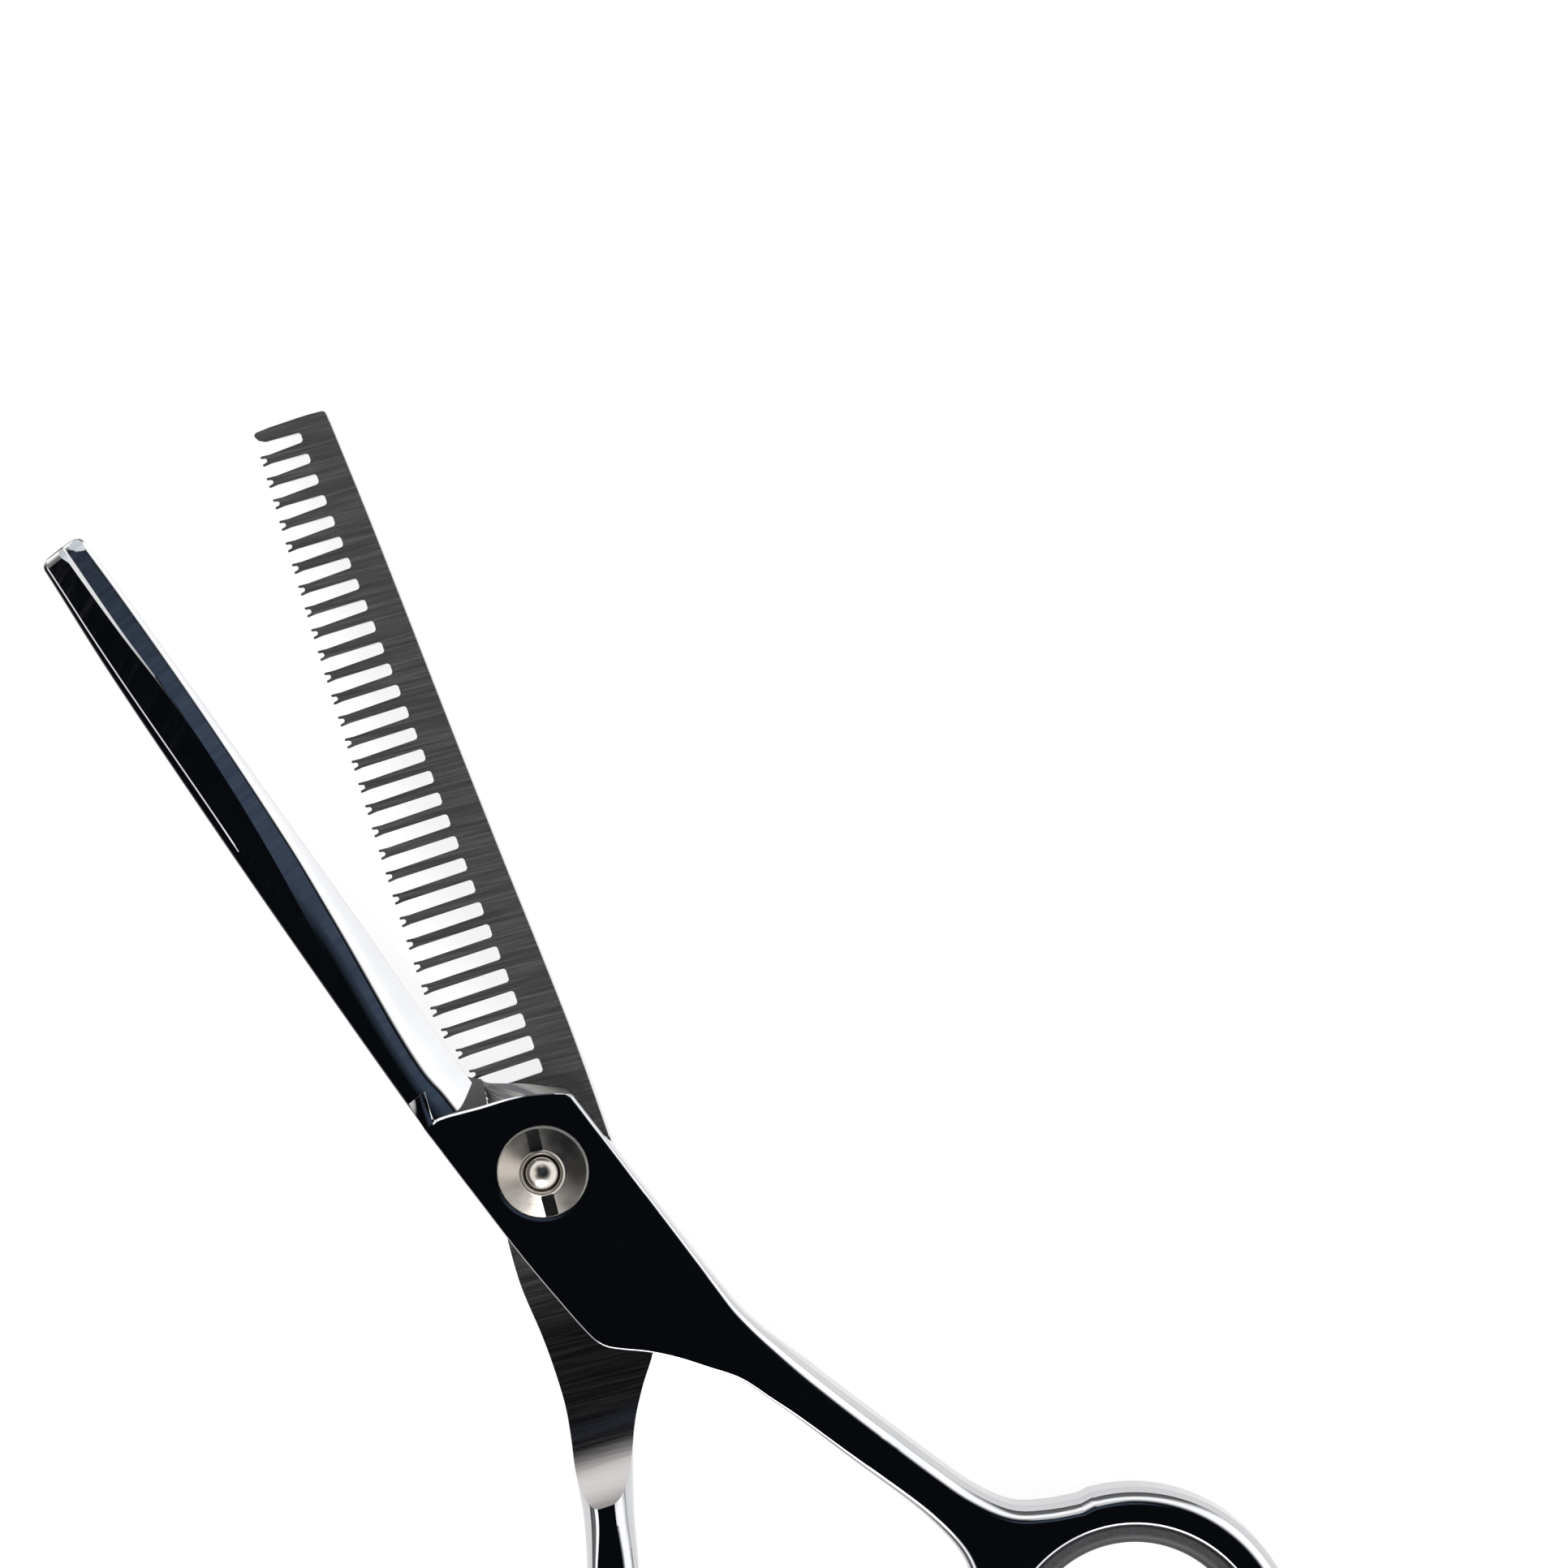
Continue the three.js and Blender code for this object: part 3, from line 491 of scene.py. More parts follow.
def run_out(back):
    """How far the run-out has risen, back from where the ride face stops being flat."""
    return RUN_OUT - math.sqrt(RUN_OUT**2 - back**2)


def ride_cutter(ride, face):
    """What the grinder removes beyond a ride face: flat over the blade, with a hollow run-out to the handle.
    face is the handle's own face, above or below the ride face."""
    side = 1 if face > ride else -1
    reach = math.sqrt(RUN_OUT**2 - (RUN_OUT - abs(face - ride)) ** 2)
    beyond = face + 4 * side
    profile = [(90, beyond), (90, ride), (RIDE_END, ride)]
    steps = 24
    for k in range(1, steps + 1):
        back = reach * k / steps
        profile.append((RIDE_END - back, ride + side * run_out(back)))
    profile.append((RIDE_END - reach - 0.3, beyond))
    return sweep_x("ride_cutter", profile, -40, 40)


def ring_arc(ring, start, end, boss=None):
    """Outer outline of a handle ring from start to end degrees, swelling at the boss direction."""
    points = []
    for x, y in arc(0, 0, 1, start, end, 2.5):
        r = ring["outer"]
        if boss is not None:
            off = math.degrees(math.atan2(y, x)) - boss
            off = (off + 180) % 360 - 180
            r += BOSS["height"] * math.exp(-((off / BOSS["spread"]) ** 2))
        points.append((ring["x"] + r * x, ring["y"] + r * y))
    return points


def ring_hole(ring):
    """Outline of a ring's bore, clockwise."""
    return arc(ring["x"], ring["y"], ring["bore"], 360, 0, 3)[:-1]


def near_bore(ring, x, y):
    """Whether a point of the outline belongs to the ring's bore."""
    return math.hypot(x - ring["x"], y - ring["y"]) < ring["bore"] + 0.5


def join_angle(ring, point):
    """Direction in degrees from a ring's middle to the end of a handle's edge."""
    return math.degrees(math.atan2(point[1] - ring["y"], point[0] - ring["x"]))


def handle_outline(left_points, right_points, ring, boss=None):
    """A handle's outline down its left edge, round the ring and up its right edge."""
    left, right = curve(left_points, HANDLE_STEP), curve(right_points, HANDLE_STEP)
    start, end = join_angle(ring, left[-1]), join_angle(ring, right[0])
    return left + ring_arc(ring, start + RING_GAP, end + 360 - RING_GAP, boss) + right


def plain_half():
    """The plain half: hub, handle and ring as one plate, cut by the shoulder, with the blade added."""
    front = [(x, y) for x, y in reversed(shoulder_foot()) if x < 6.35]
    outline = front + HUB_FRONT + handle_outline(PLAIN_LEFT, PLAIN_RIGHT, FINGER_RING, REST_AIM)
    side_round = [(-80, 1.5), (-49, 1.5), (-30, 1.35), (-22, 0.8), (-14, 0.42), (12, 0.32)]
    inner_round = [(-80, 1.5), (-53, 0.9), (-44, 0.62), (-32, 0.35), (-22, 0.14), (12, 0.1)]

    def round_high(x, y):
        if near_bore(FINGER_RING, x, y):
            return BORE_ROUND, BORE_ROUND
        middle = 0.5 if y > -18 else 10 - (y + 44) * 0.35
        r = along(y, side_round if x > middle else inner_round)
        return r, r

    def round_low(x, y):
        return BORE_ROUND if near_bore(FINGER_RING, x, y) else 1.2

    piece = plate("plain_half", [outline, ring_hole(FINGER_RING)], 0, TOP, round_low, round_high)
    combine(piece, shoulder_cutter(), "DIFFERENCE")
    combine(piece, plain_blade(), "UNION")
    combine(piece, ride_cutter(RIDE_HIGH, 0), "DIFFERENCE")
    for r, low, high in PLAIN_BORES:
        combine(piece, drum(r, low, high), "DIFFERENCE")
    return piece


# ---- Toothed half ----
SLOTS = 30
FIRST_SLOT = 9.26
SLOT_PITCH = 2.22  # at the pivot end; it shrinks by PITCH_SHRINK at each slot
PITCH_SHRINK = 0.0063
TOOTH_WIDTH = 0.84  # between two slots at the teeth's ends
ROOT_HALF = [(0, 0.68), (SLOTS - 1, 0.465)]  # half a slot's width at its root, from the first slot to the last
ROOT_ROUND = 0.3
MOUTH_DEPTH = 0.9  # the teeth start to flare this far from their ends
NOTCH = {"flare": 0.49, "half": 0.2, "depth": 0.52}  # in each tooth's end
FORK = [(0.12, 0), (0.02, 0.04), (0, 0.12)]  # rounding of a prong's outer corner: in, and down
TOOTH_TIPS = [(9.5, -3.5), (12.5, -4.25), (15, -5), (19, -5.4), (28, -5.3), (40, -5), (53, -4.7), (73, -4)]
TOOTH_ROOTS = [(8.9, 2.8), (37.4, 1.7), (71, 0.12)]
TOOTHED_SPINE = [(-2, 6.75), (10.3, 6.5), (19, 6.05), (28, 5.5), (40.6, 4.8), (61.5, 3.72), (73, 2.95)]
TOOTHED_THICK = [(3, 2.4), (12, 2.2), (40, 1.8), (73, 1.3)]
TOOTHED_HEEL = [(-3.3, 8.1), (-4.1, 6.4), (-5, 3), (-5, -2)]  # the blade's outline behind its first slot
# What is ground off the blade's back: how far it sinks at each y, to run out before the hub.
BACK_ROWS = [(1, 3.2), (6, 1.6)] + [(y, 0) for y in (12, 20, 30, 40, 50, 60, 75)]
TOOTH_THICK = 0.4  # at the teeth's ends
TIP_CORNER = 0.45  # rounding at the spine's end
SPINE_ROUND = (0.32, 0.9)  # width and height of the rounding along the toothed blade's spine
TOOTHED_LEFT = [
    (-5, -2), (-5.4, -9), (-5, -14.4), (-4.9, -17.7), (-5, -21.2), (-5.45, -24.3), (-6, -27.1), (-6.6, -31.3),
    (-7.6, -35.5), (-8.7, -39), (-9.9, -42.5), (-11.9, -45.5), (-14.4, -47.1),
]
TOOTHED_RIGHT = [
    (-3.6, -50.5), (-4.5, -49.2), (-4.95, -47), (-4.8, -44.5), (-4.2, -41), (-3.1, -37), (-2.1, -32.7),
    (-0.7, -28.1), (0.6, -24.7), (2.3, -21.8), (4.2, -19.1), (5.5, -16.2), (6.2, -14.3), (6.6, -8), (6.7, -2),
]


def slot_middle(i):
    """y of the middle of slot i."""
    return FIRST_SLOT + SLOT_PITCH * i - PITCH_SHRINK / 2 * i * i


def slot_outline(i):
    """One slot from its far side to its near side, with a rounded root."""
    y = slot_middle(i)
    pitch = SLOT_PITCH - PITCH_SHRINK * i
    root_x = along(y, TOOTH_ROOTS)
    root = along(i, ROOT_HALF)
    neck = (pitch - TOOTH_WIDTH) / 2
    mouth_x = along(y, TOOTH_TIPS) + MOUTH_DEPTH
    r = ROOT_ROUND
    upper = arc(root_x - r, y + root - r, r, 90, 0, 22)
    lower = arc(root_x - r, y - root + r, r, 0, -90, 22)
    return [(mouth_x, y + neck)] + upper + lower + [(mouth_x, y - neck)]


def tooth_end(i):
    """End of the tooth between slots i and i - 1, going down: two prongs with a rounded notch."""
    y = (slot_middle(i) + slot_middle(i - 1)) / 2
    x = along(y, TOOTH_TIPS)
    flare, half, depth = NOTCH["flare"], NOTCH["half"], NOTCH["depth"]
    upper = [(x + inset, y + flare - down) for inset, down in FORK] + [(x + 0.05, y + half + 0.06)]
    lower = [(px, 2 * y - py) for px, py in reversed(upper)]
    return upper + arc(x + depth - half, y, half, 90, -90, 30) + lower


def toothed_outline():
    """The toothed blade's outline: up the spine, round the tip, and down over the teeth."""
    rows = [-2 + 1.2 * i for i in range(62)]
    spine = [(along(y, TOOTHED_SPINE), y) for y in rows if y < TOOTHED_REACH - 0.7]
    right = along(TOOTHED_REACH, TOOTHED_SPINE)
    tip = arc(right - TIP_CORNER, TOOTHED_REACH - TIP_CORNER, TIP_CORNER, 5, 90, 9)
    left = along(TOOTHED_REACH, TOOTH_TIPS)
    tip += [(x, TOOTHED_REACH + rise) for x, rise in ((0.3, 0.04), (-2.5, 0.02))]
    tip += [
        (left + inset, TOOTHED_REACH - down)
        for inset, down in ((0.25, 0.05), (0.03, 0.2), (0, 0.4), (0.25, 0.85))
    ]
    teeth = []
    for i in reversed(range(SLOTS)):
        teeth += slot_outline(i)
        if i > 0:
            teeth += tooth_end(i)
    return spine + tip + teeth + TOOTHED_HEEL


def back_cutter():
    """What is ground off the toothed blade's back, so that it thins from the spine to the teeth's ends."""
    sections = []
    for y, drop in BACK_ROWS:
        tips, root = along(y, TOOTH_TIPS), along(y, TOOTH_ROOTS) + 0.8
        back = RIDE_LOW - along(y, TOOTHED_THICK) - drop
        thin = RIDE_LOW - TOOTH_THICK - drop
        beyond = thin + (thin - back) / (root - tips) * 2
        spine_x = along(y, TOOTHED_SPINE)
        sections.append([
            (tips - 2, y, beyond), (root, y, back), (spine_x - 0.9, y, back), (spine_x + 2, y, back + 2.6),
            (spine_x + 2, y, -2 - drop), (tips - 2, y, -2 - drop),
        ])
    return loft("back_cutter", sections)


def toothed_blade():
    """The toothed blade, square at its teeth and rounded along its spine."""
    def round_high(x, y):
        on_spine = x > along(y, TOOTHED_SPINE) - 0.01
        on_corner = y > TOOTHED_REACH - 0.5 and x > 2.3
        return SPINE_ROUND if on_spine or on_corner else (0.0, 0.0)

    above = RIDE_LOW + 0.35
    piece = plate("toothed_half", [toothed_outline()], 0, above, lambda x, y: 0.0, round_high)
    combine(piece, back_cutter(), "DIFFERENCE")
    return piece


def toothed_half():
    """The toothed half: its blade joined to the handle, with the ride face ground over both."""
    outline = [(6.7, 1), (-5, 1)] + handle_outline(TOOTHED_LEFT, TOOTHED_RIGHT, THUMB_RING)
    side_round = [(-80, 1.5), (-42, 1.5), (-36, 1.6), (-31, 1.95), (-20, 2.0)]
    inner_round = [(-80, 1.5), (-47, 1.1), (-42, 0.95), (-36, 1.2), (-31, 1.85), (-20, 1.9)]
    height = [(-80, 1.5), (-42, 1.5), (-36, 1.8), (-30, 2.7), (-20, 2.7)]
    low_round = [(-80, 1.2), (-30, 1.1), (-20, 0.3), (0, 0.2)]

    def round_high(x, y):
        if near_bore(THUMB_RING, x, y):
            return BORE_ROUND, BORE_ROUND
        middle = -3 + (y + 28) * 0.2
        return along(y, side_round if x > middle else inner_round), along(y, height)

    def round_low(x, y):
        return BORE_ROUND if near_bore(THUMB_RING, x, y) else along(y, low_round)

    piece = toothed_blade()
    handle = plate("handle", [outline, ring_hole(THUMB_RING)], 0, TOP, round_low, round_high)
    combine(piece, handle, "UNION")
    combine(piece, ride_cutter(RIDE_LOW, TOP), "DIFFERENCE")
    for r, low, high in TOOTHED_BORES:
        combine(piece, drum(r, low, high), "DIFFERENCE")
    return piece


# ---- Pivot ----
def pivot_stud():
    """The stud: back head with two key holes, shaft, thread and domed end."""
    head_r, head, shaft_r, thread_r = (STUD[key] for key in ("head_r", "head", "shaft_r", "thread_r"))
    dome_foot = STUD["top"] - STUD["dome"]
    profile = [(0, 0), (head_r - 0.3, 0), (head_r - 0.12, 0.04), (head_r - 0.03, 0.13), (head_r, 0.25)]
    profile += [(head_r, head), (shaft_r, head), (shaft_r, STUD["shaft_top"] - 0.05)]
    profile += [(shaft_r - 0.1, STUD["shaft_top"]), (thread_r, STUD["shaft_top"]), (thread_r, dome_foot)]
    for k in range(1, 15):
        t = math.radians(6 * k)
        profile.append((thread_r * math.cos(t), dome_foot + STUD["dome"] * math.sin(t)))
    profile.append((0, STUD["top"]))
    piece = lathe("pivot_stud", profile)
    for x in (KEY_HOLES["at"], -KEY_HOLES["at"]):
        hole = drum(KEY_HOLES["r"], -1, KEY_HOLES["depth"], 40)
        hole.data.transform(Matrix.Translation((x, 0, 0)))
        combine(piece, hole, "DIFFERENCE")
    return piece


def tension_nut():
    """The nut: a slotted disc that falls from a raised collar round its threaded bore to its rim."""
    bore, rim, under = 1.56, 4.05, 5.06
    profile = [(bore, under), (rim - 0.15, under), (rim, 5.2)]
    profile += [(rim, 5.56), (rim - 0.02, 5.59), (rim - 0.07, 5.6)]
    profile += [(2.12, 5.95), (2.04, 6.0), (1.99, 6.08), (1.93, 6.14), (1.84, 6.15), (1.74, 6.1)]
    profile += [(1.6, 5.9), (bore, 5.8)]
    piece = lathe("tension_nut", profile)
    half, floor_z, above = NUT_SLOT["half_width"], NUT_SLOT["floor"], 7
    for ends in ((NUT_SLOT["start"], NUT_SLOT["end"]), (-NUT_SLOT["end"], -NUT_SLOT["start"])):
        box = [[(-half, y, floor_z), (half, y, floor_z), (half, y, above), (-half, y, above)] for y in ends]
        combine(piece, loft("slot", box), "DIFFERENCE")
    return piece


# ---- Handle fittings ----
def ring_insert(name, ring):
    """Rubber sizing ring with a soft inner face."""
    outer, inner = ring["bore"] - INSERT["slack"], ring["bore"] - INSERT["wall"]
    low, high = INSERT["sunk"], TOP - INSERT["sunk"]
    edge, radius = INSERT["edge"], INSERT["round"]
    profile = [(outer - edge, low), (outer, low + edge), (outer, high - edge), (outer - edge, high)]
    rounding = quarter_round(8)
    profile += [(inner + radius * inset, high - radius * fall) for inset, fall in reversed(rounding)]
    profile += [(inner + radius * inset, low + radius * rise) for inset, rise in rounding]
    return lathe(name, profile)


def bumper_line():
    """Direction, from the thumb ring's middle, in which the closed rings come closest, and their gap there."""
    closed = Matrix.Rotation(math.radians(CLOSED_OPENING), 2)
    finger, thumb = (Vector((ring["x"], ring["y"])) for ring in (FINGER_RING, THUMB_RING))
    reach = closed @ finger - thumb
    gap = reach.length - FINGER_RING["outer"] - THUMB_RING["outer"]
    return math.degrees(math.atan2(reach.y, reach.x)), gap


def bumper(gap):
    """Rubber plug pointing along x from the middle of the thumb ring, with a round-edged head and a stem."""
    r, stem_r, rounding = BUMPER["r"], BUMPER["stem_r"], BUMPER["round"]
    seat = THUMB_RING["outer"] - BUMPER["seat"]
    foot = THUMB_RING["outer"] - BUMPER["stem"]
    end = THUMB_RING["outer"] + gap - BUMPER["clear"]
    profile = [(0, foot), (stem_r, foot), (stem_r, seat), (r, seat)]
    profile += [(r - rounding * inset, end - rounding * fall) for inset, fall in quarter_round(8)]
    profile.append((0, end))
    piece = lathe("bumper", profile, 96)
    piece.data.transform(Matrix.Rotation(math.radians(90), 4, "Y"))
    return piece


def finger_rest():
    """A collar with a short stub in the boss, and a tapered hook with a round end, along -y."""
    collar_profile = [
        (0, 1), (1.2, 1), (1.2, 0.05), (1.85, 0), (2.05, -0.15), (2.1, -0.4), (2.1, -0.8), (2.0, -1.05),
        (1.8, -1.2), (0, -1.2),
    ]
    collar = lathe("finger_rest", [(r, -REST_FACE + z) for r, z in collar_profile], 64)
    collar.data.transform(Matrix(((1, 0, 0, 0), (0, 0, 1, 0), (0, -1, 0, 0), (0, 0, 0, 1))))
    path = curve([(x, -REST_FACE - out) for x, out in REST_PATH], 0.3)
    turns = [2 * math.pi * k / 48 for k in range(48)]
    sections = []
    for i, (x, y) in enumerate(path):
        t = i / (len(path) - 1)
        before, after = path[max(i - 1, 0)], path[min(i + 1, len(path) - 1)]
        side = Vector((before[1] - after[1], after[0] - before[0])).normalized()
        wide = 1.95 - 0.55 * math.sin(math.pi * min(1, t * 1.15) ** 0.8) + 0.1 * t
        end = max(0.0, (t - 0.9) / 0.1)
        wide *= math.sqrt(max(0.0004, 1 - end**2))
        tall = wide * (0.92 - 0.1 * t)
        sections.append([
            (x + side.x * wide * math.cos(a), y + side.y * wide * math.cos(a), tall * math.sin(a))
            for a in turns
        ])
    combine(collar, loft("hook", sections), "UNION")
    return collar


# ---- Materials ----
def new_material(name):
    """A material, its node tree and its shader."""
    material = bpy.data.materials.new(name)
    material.use_nodes = True
    tree = material.node_tree
    return material, tree, tree.nodes["Principled BSDF"]


def place_noise(tree, scale, turn, detail, stretch=(1, 1, 1)):
    """Noise in object space, stretched along the piece's own axes; scale is in cells per metre."""
    coordinates = tree.nodes.new("ShaderNodeTexCoord")
    turned = tree.nodes.new("ShaderNodeMapping")
    turned.inputs["Rotation"].default_value[2] = math.radians(-turn)
    stretched = tree.nodes.new("ShaderNodeMapping")
    stretched.inputs["Scale"].default_value = [scale * s for s in stretch]
    noise = tree.nodes.new("ShaderNodeTexNoise")
    noise.inputs["Scale"].default_value = 1
    noise.inputs["Detail"].default_value = detail
    tree.links.new(coordinates.outputs["Object"], turned.inputs["Vector"])
    tree.links.new(turned.outputs["Vector"], stretched.inputs["Vector"])
    tree.links.new(stretched.outputs["Vector"], noise.inputs["Vector"])
    return noise.outputs["Fac"]


def remap(tree, value, low, high, new_low, new_high):
    """A value carried from one range to another, and held at its ends."""
    node = tree.nodes.new("ShaderNodeMapRange")
    for name, number in zip(("From Min", "From Max", "To Min", "To Max"), (low, high, new_low, new_high)):
        node.inputs[name].default_value = number
    tree.links.new(value, node.inputs["Value"])
    return node.outputs["Result"]


def tint(tree, value, dark, light):
    """A colour between two, by a noise value."""
    ramp = tree.nodes.new("ShaderNodeValToRGB")
    ramp.color_ramp.elements[0].position = 0.3
    ramp.color_ramp.elements[0].color = (*dark, 1)
    ramp.color_ramp.elements[1].position = 0.7
    ramp.color_ramp.elements[1].color = (*light, 1)
    tree.links.new(value, ramp.inputs["Fac"])
    return ramp.outputs["Color"]


def bump(tree, shader, value, distance):
    """Relief of a height in metres, on top of what the shader already has."""
    node = tree.nodes.new("ShaderNodeBump")
    node.inputs["Strength"].default_value = 1
    node.inputs["Distance"].default_value = distance
    tree.links.new(value, node.inputs["Height"])
    previous = shader.inputs["Normal"]
    if previous.is_linked:
        tree.links.new(previous.links[0].from_socket, node.inputs["Normal"])
    tree.links.new(node.outputs["Normal"], previous)


def own_y(tree, turn):
    """Distance along the half the piece belongs to, in metres from the pivot."""
    coordinates = tree.nodes.new("ShaderNodeTexCoord")
    along_half = tree.nodes.new("ShaderNodeVectorMath")
    along_half.operation = "DOT_PRODUCT"
    along_half.inputs[1].default_value = (-math.sin(math.radians(turn)), math.cos(math.radians(turn)), 0)
    tree.links.new(coordinates.outputs["Object"], along_half.inputs[0])
    return along_half.outputs["Value"]


def join(tree, operation, first, second):
    """Two values joined by one step of arithmetic."""
    node = tree.nodes.new("ShaderNodeMath")
    node.operation = operation
    tree.links.new(first, node.inputs[0])
    tree.links.new(second, node.inputs[1])
    return node.outputs[0]


def mix_colors(tree, factor, first, second):
    """A colour from first to second, each a colour or a socket, by the factor."""
    node = tree.nodes.new("ShaderNodeMix")
    node.data_type = "RGBA"
    tree.links.new(factor, node.inputs["Factor"])
    for socket, color in zip([socket for socket in node.inputs if socket.type == "RGBA"], (first, second)):
        if isinstance(color, tuple):
            socket.default_value = (*color, 1)
        else:
            tree.links.new(color, socket)
    return next(socket for socket in node.outputs if socket.type == "RGBA")


def polished_steel():
    """Mirror finish with faint clouding and handling marks."""
    material, tree, shader = new_material("polished_steel")
    shader.inputs["Metallic"].default_value = 1
    cloud = place_noise(tree, 90, 0, 4)
    tree.links.new(tint(tree, cloud, (0.50, 0.505, 0.52), (0.57, 0.575, 0.585)), shader.inputs["Base Color"])
    marks = place_noise(tree, 900, 35, 6, (0.25, 2.5, 1))
    tree.links.new(remap(tree, marks, 0.35, 0.75, 0.02, 0.07), shader.inputs["Roughness"])
    bump(tree, shader, place_noise(tree, 260, 0, 2), 0.000002)
    return material


def satin_steel(name, turn):
    """Ride face ground across the blade, and smoother behind the pivot."""
    material, tree, shader = new_material(name)
    shader.inputs["Metallic"].default_value = 1
    grain = place_noise(tree, 1, turn - 3, 3, (300, 17000, 300))
    scratch = place_noise(tree, 1, turn - 4, 1, (130, 5200, 130))
    ground = remap(tree, own_y(tree, turn), -15 * MM, -4 * MM, 0, 1)
    marked = tint(tree, grain, (0.34, 0.325, 0.305), (0.46, 0.44, 0.415))
    color = mix_colors(tree, ground, (0.36, 0.345, 0.34), marked)
    tree.links.new(color, shader.inputs["Base Color"])
    rough = remap(tree, scratch, 0.3, 0.72, 0.23, 0.29)
    tree.links.new(join(tree, "ADD", rough, remap(tree, ground, 0, 1, -0.12, 0)), shader.inputs["Roughness"])
    bump(tree, shader, grain, 0.000002)
    bump(tree, shader, scratch, 0.000002)
    return material


def ground_steel(turn):
    """The plain blade's wide facet: polished over the wheel's faint marks across the blade."""
    material, tree, shader = new_material("ground_steel")
    shader.inputs["Metallic"].default_value = 1
    chatter = place_noise(tree, 1, turn, 1, (80, 1400, 80))
    grain = place_noise(tree, 1, turn, 4, (700, 9000, 700))
    tree.links.new(tint(tree, chatter, (0.55, 0.58, 0.64), (0.74, 0.76, 0.8)), shader.inputs["Base Color"])
    tree.links.new(remap(tree, grain, 0.3, 0.7, 0.06, 0.14), shader.inputs["Roughness"])
    bump(tree, shader, chatter, 0.0000025)
    return material


def turned_steel():
    """Nut and stud: finely turned, then polished."""
    material, tree, shader = new_material("turned_steel")
    shader.inputs["Metallic"].default_value = 1
    cloud = place_noise(tree, 500, 0, 4)
    tree.links.new(tint(tree, cloud, (0.40, 0.37, 0.34), (0.50, 0.47, 0.43)), shader.inputs["Base Color"])
    tree.links.new(remap(tree, cloud, 0.3, 0.7, 0.13, 0.2), shader.inputs["Roughness"])
    bump(tree, shader, place_noise(tree, 2600, 0, 3), 0.0000015)
    return material


def plain_material(name, dark, light, roughness, grain, depth, metallic=0.0):
    """A material that varies a little in colour, roughness and relief with one noise."""
    material, tree, shader = new_material(name)
    shader.inputs["Metallic"].default_value = metallic
    noise = place_noise(tree, grain, 0, 5)
    tree.links.new(tint(tree, noise, dark, light), shader.inputs["Base Color"])
    rough = remap(tree, noise, 0.3, 0.7, roughness - 0.06, roughness + 0.06)
    tree.links.new(rough, shader.inputs["Roughness"])
    bump(tree, shader, noise, depth)
    return material


# ---- Assembly ----
POLISHED = polished_steel()
TURNED = turned_steel()
RUBBER = plain_material("black_rubber", (0.012, 0.012, 0.014), (0.025, 0.025, 0.028), 0.5, 3500, 0.00001)
NYLON = plain_material("nylon", (0.70, 0.68, 0.62), (0.8, 0.78, 0.72), 0.45, 2500, 0.000005)
SPRING = plain_material("spring_steel", (0.35, 0.34, 0.33), (0.5, 0.49, 0.48), 0.3, 2500, 0.000004, 1.0)
SATIN_TOOTHED = satin_steel("satin_steel_toothed", -REST_TURN)
SATIN_PLAIN = satin_steel("satin_steel_plain", REST_TURN)
GROUND = ground_steel(REST_TURN)


def give_satin(piece, material, ride, half):
    """The satin material on every face that the ride cutter left."""
    piece.data.materials.append(material)
    to_own = Matrix.Rotation(math.radians(-half * REST_TURN), 3, "Z")
    for polygon in piece.data.polygons:
        centre = to_own @ polygon.center / MM
        back = max(0.0, min(RIDE_END - centre.y, RUN_OUT))
        height = ride - half * run_out(back)
        if abs(centre.z - height) < 0.02 and polygon.normal.z * half < -0.6:
            polygon.material_index = 1


def give_ground(piece, material):
    """The ground material on the plain blade's wide facet, known by its lean across the blade."""
    piece.data.materials.append(material)
    to_own = Matrix.Rotation(math.radians(-REST_TURN), 3, "Z")
    for polygon in piece.data.polygons:
        centre, normal = to_own @ polygon.center / MM, to_own @ polygon.normal
        on_blade = centre.y > 9.9 and centre.z > RIDE_HIGH + 0.5
        if on_blade and normal.z > 0.98 and 0.04 < normal.x < 0.16:
            polygon.material_index = 2


plain = finish(plain_half(), PLAIN, "finger_side", POLISHED, "plain_blade_half",
               sharp=HALF_SHARP)
give_satin(plain, SATIN_PLAIN, RIDE_HIGH, PLAIN)
give_ground(plain, GROUND)
toothed = finish(toothed_half(), TOOTHED, "thumb_side", POLISHED, "toothed_blade_half",
                 sharp=HALF_SHARP)
give_satin(toothed, SATIN_TOOTHED, RIDE_LOW, TOOTHED)
finish(pivot_stud(), TOOTHED, "thumb_side", TURNED, "pivot_stud")
finish(tension_nut(), TOOTHED, "nut", TURNED, "tension_nut", turn=NUT_TURN)
for ring_name, ring, half, body in (
    ("finger_ring_insert", FINGER_RING, PLAIN, "finger_side"),
    ("thumb_ring_insert", THUMB_RING, TOOTHED, "thumb_side"),
):
    insert = ring_insert(ring_name, ring)
    finish(insert, half, body, RUBBER, ring_name, place=(ring["x"], ring["y"], 0))
finish(finger_rest(), PLAIN, "finger_side", POLISHED, "finger_rest",
       turn=90 + REST_AIM, place=(FINGER_RING["x"], FINGER_RING["y"], TOP / 2))
bumper_aim, bumper_gap = bumper_line()
finish(bumper(bumper_gap), TOOTHED, "thumb_side", RUBBER, "bumper",
       turn=bumper_aim, place=(THUMB_RING["x"], THUMB_RING["y"], TOP / 2))
for node, material in (
    ("pivot_bush", NYLON), ("glide_washer", NYLON), ("nylon_washer", NYLON), ("spring_washer", SPRING),
):
    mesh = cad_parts[node].data
    mesh.materials.clear()
    mesh.materials.append(material)


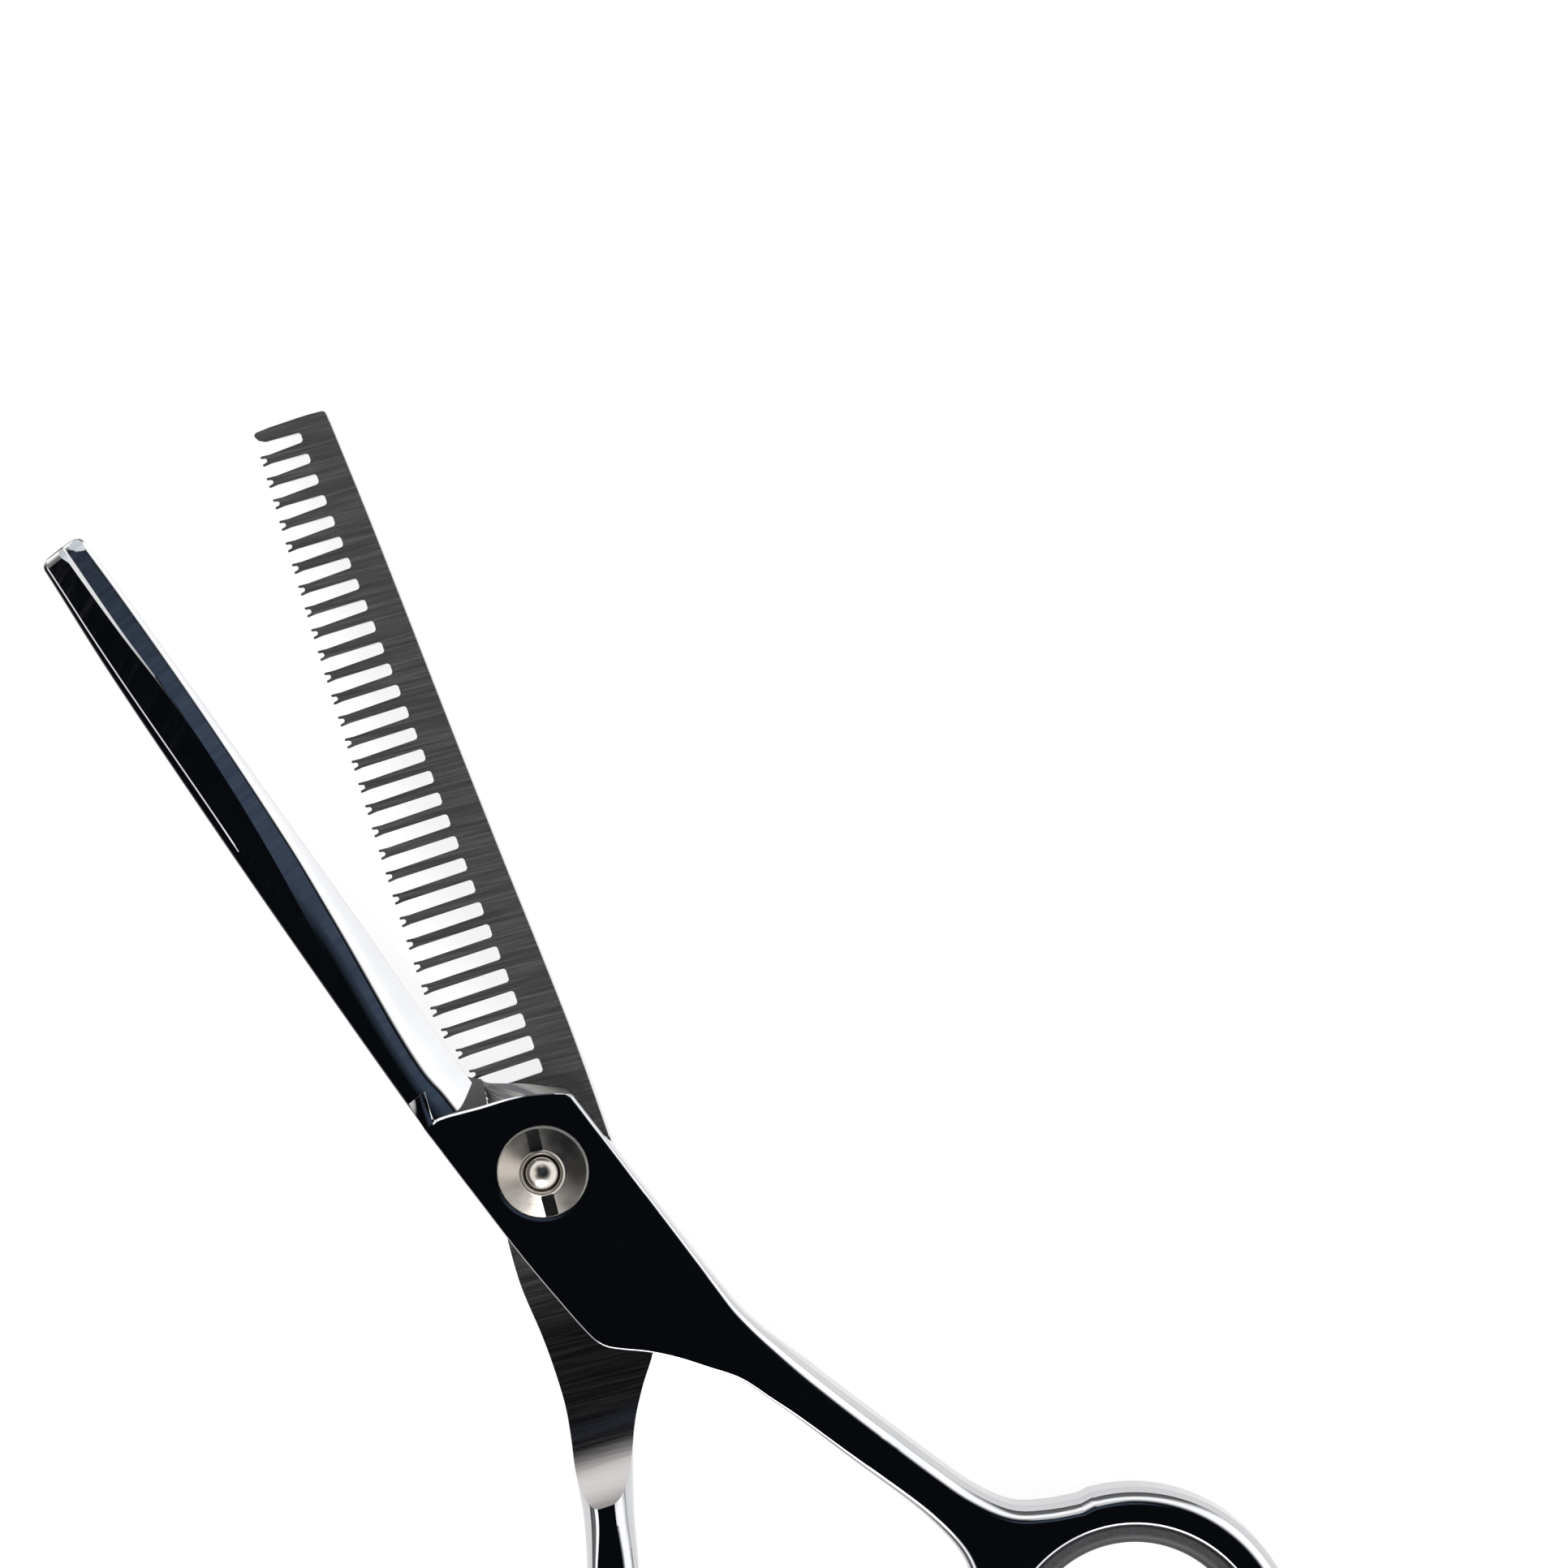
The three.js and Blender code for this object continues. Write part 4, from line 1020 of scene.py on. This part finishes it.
# ---- Stage ----
def camera():
    """Straight down from 350 mm above the nut, turned so that +Y lies 28 degrees left of up."""
    roll = math.radians(VIEW["roll"])
    right = Vector((math.cos(roll), -math.sin(roll), 0))
    up = Vector((math.sin(roll), math.cos(roll), 0))
    place = right * VIEW["right"] + up * VIEW["up"]
    data = bpy.data.cameras.new("camera")
    data.sensor_width = 36
    data.lens = data.sensor_width / 2 * VIEW["distance"] / VIEW["half_frame"]
    data.clip_start = 0.01
    view = bpy.data.objects.new("camera", data)
    view.location = (place.x, place.y, VIEW["height"])
    view.rotation_euler = (0, 0, -roll)
    bpy.context.scene.collection.objects.link(view)
    bpy.context.scene.camera = view


def floor():
    """A pale floor, lit from within as much as from above, so that it stays white under the dark patch."""
    reach = 3
    corners = [(-reach, -reach, 0), (reach, -reach, 0), (reach, reach, 0), (-reach, reach, 0)]
    mesh = bpy.data.meshes.new("floor")
    mesh.from_pydata(corners, [], [(0, 1, 2, 3)])
    stage = bpy.data.objects.new("floor", mesh)
    stage.location.z = -0.0001
    bpy.context.scene.collection.objects.link(stage)
    material, _, shader = new_material("floor")
    shader.inputs["Base Color"].default_value = (0.3, 0.3, 0.3, 1)
    shader.inputs["Emission Color"].default_value = (1, 1, 1, 1)
    shader.inputs["Emission Strength"].default_value = 0.78
    shader.inputs["Roughness"].default_value = 0.9
    shader.inputs["Specular IOR Level"].default_value = 0.1
    mesh.materials.append(material)


def side_reading(tree, coordinates, aim):
    """How far a direction of the sky leans towards the aim."""
    towards = tree.nodes.new("ShaderNodeVectorMath")
    towards.operation = "DOT_PRODUCT"
    towards.inputs[1].default_value = Vector(aim).normalized()
    tree.links.new(coordinates.outputs["Generated"], towards.inputs[0])
    return towards.outputs["Value"]


def glow(tree, coordinates, sky, aim, core, edge, color):
    """A round patch of colour on the sky, full within core degrees of the aim and gone at edge degrees."""
    limits = math.cos(math.radians(edge)), math.cos(math.radians(core))
    reading = side_reading(tree, coordinates, aim)
    return mix_colors(tree, remap(tree, reading, *limits, 0, 1), sky, color)


# The sky's colour at degrees from straight up: a dark patch, which the flat faces mirror, and a bright dome.
SKY = [
    (0, (0.004, 0.005, 0.007)), (19, (0.004, 0.005, 0.007)), (26, (0.35, 0.35, 0.36)), (33, (1.3, 1.3, 1.3)),
    (38, (1.8, 1.8, 1.8)), (70, (1.9, 1.9, 1.9)), (90, (0.9, 0.9, 0.9)), (180, (0.8, 0.8, 0.8)),
]
# Patches on it: aim, degrees of their core and of their edge, and colour. A dim blue one for the blade's wide
# facet, a warm white one for the bevels, and a white one for the facet on the blade's end.
PATCHES = [
    ((0.053, 0.081, 1), 5, 9.5, (0.055, 0.075, 0.11)),
    ((-0.534, 0.225, 1), 4, 12.5, (1.5, 1.45, 1.4)),
    ((0.147, 0.426, 1), 3.5, 7.5, (1.0, 1.02, 1.0)),
]
# Sides of the studio that are dark below the dome: aim, and the readings where the dark starts and is full.
DARK_SIDES = [((-0.883, 0.469, 0), (0.3, 0.55)), ((0.469, 0.883, 0), (0.7, 0.86))]
DARKNESS = 0.88


def surroundings():
    """A white studio with a dark patch overhead and two darker sides."""
    world = bpy.data.worlds.new("studio")
    world.use_nodes = True
    bpy.context.scene.world = world
    tree = world.node_tree
    coordinates = tree.nodes.new("ShaderNodeTexCoord")
    split = tree.nodes.new("ShaderNodeSeparateXYZ")
    tree.links.new(coordinates.outputs["Generated"], split.inputs["Vector"])
    from_zenith = tree.nodes.new("ShaderNodeMath")
    from_zenith.operation = "ARCCOSINE"
    tree.links.new(split.outputs["Z"], from_zenith.inputs[0])
    ramp = tree.nodes.new("ShaderNodeValToRGB")
    tree.links.new(remap(tree, from_zenith.outputs[0], 0, math.pi, 0, 1), ramp.inputs["Fac"])
    elements = ramp.color_ramp.elements
    while len(elements) < len(SKY):
        elements.new(0.5)
    for element, (angle, color) in zip(elements, SKY):
        element.position = angle / 180
        element.color = (*color, 1)
    sky = ramp.outputs["Color"]
    for aim, core, edge, color in PATCHES:
        sky = glow(tree, coordinates, sky, aim, core, edge, color)
    background = tree.nodes["Background"]
    tree.links.new(sky, background.inputs["Color"])
    shades = [
        remap(tree, side_reading(tree, coordinates, aim), *limits, 0, DARKNESS)
        for aim, limits in DARK_SIDES
    ]
    low = remap(tree, from_zenith.outputs[0], math.radians(46), math.radians(58), 0, 1)
    dim = join(tree, "MULTIPLY", join(tree, "MAXIMUM", *shades), low)
    tree.links.new(remap(tree, dim, 0, 1, 1, 0), background.inputs["Strength"])


def key_light():
    """A soft sun from above."""
    data = bpy.data.lights.new("key", "SUN")
    data.energy = 1.4
    data.angle = math.radians(40)
    light = bpy.data.objects.new("key", data)
    light.rotation_euler = (math.radians(38), math.radians(-30), 0)
    bpy.context.scene.collection.objects.link(light)


camera()
floor()
surroundings()
key_light()
bpy.context.scene.view_settings.view_transform = "Standard"
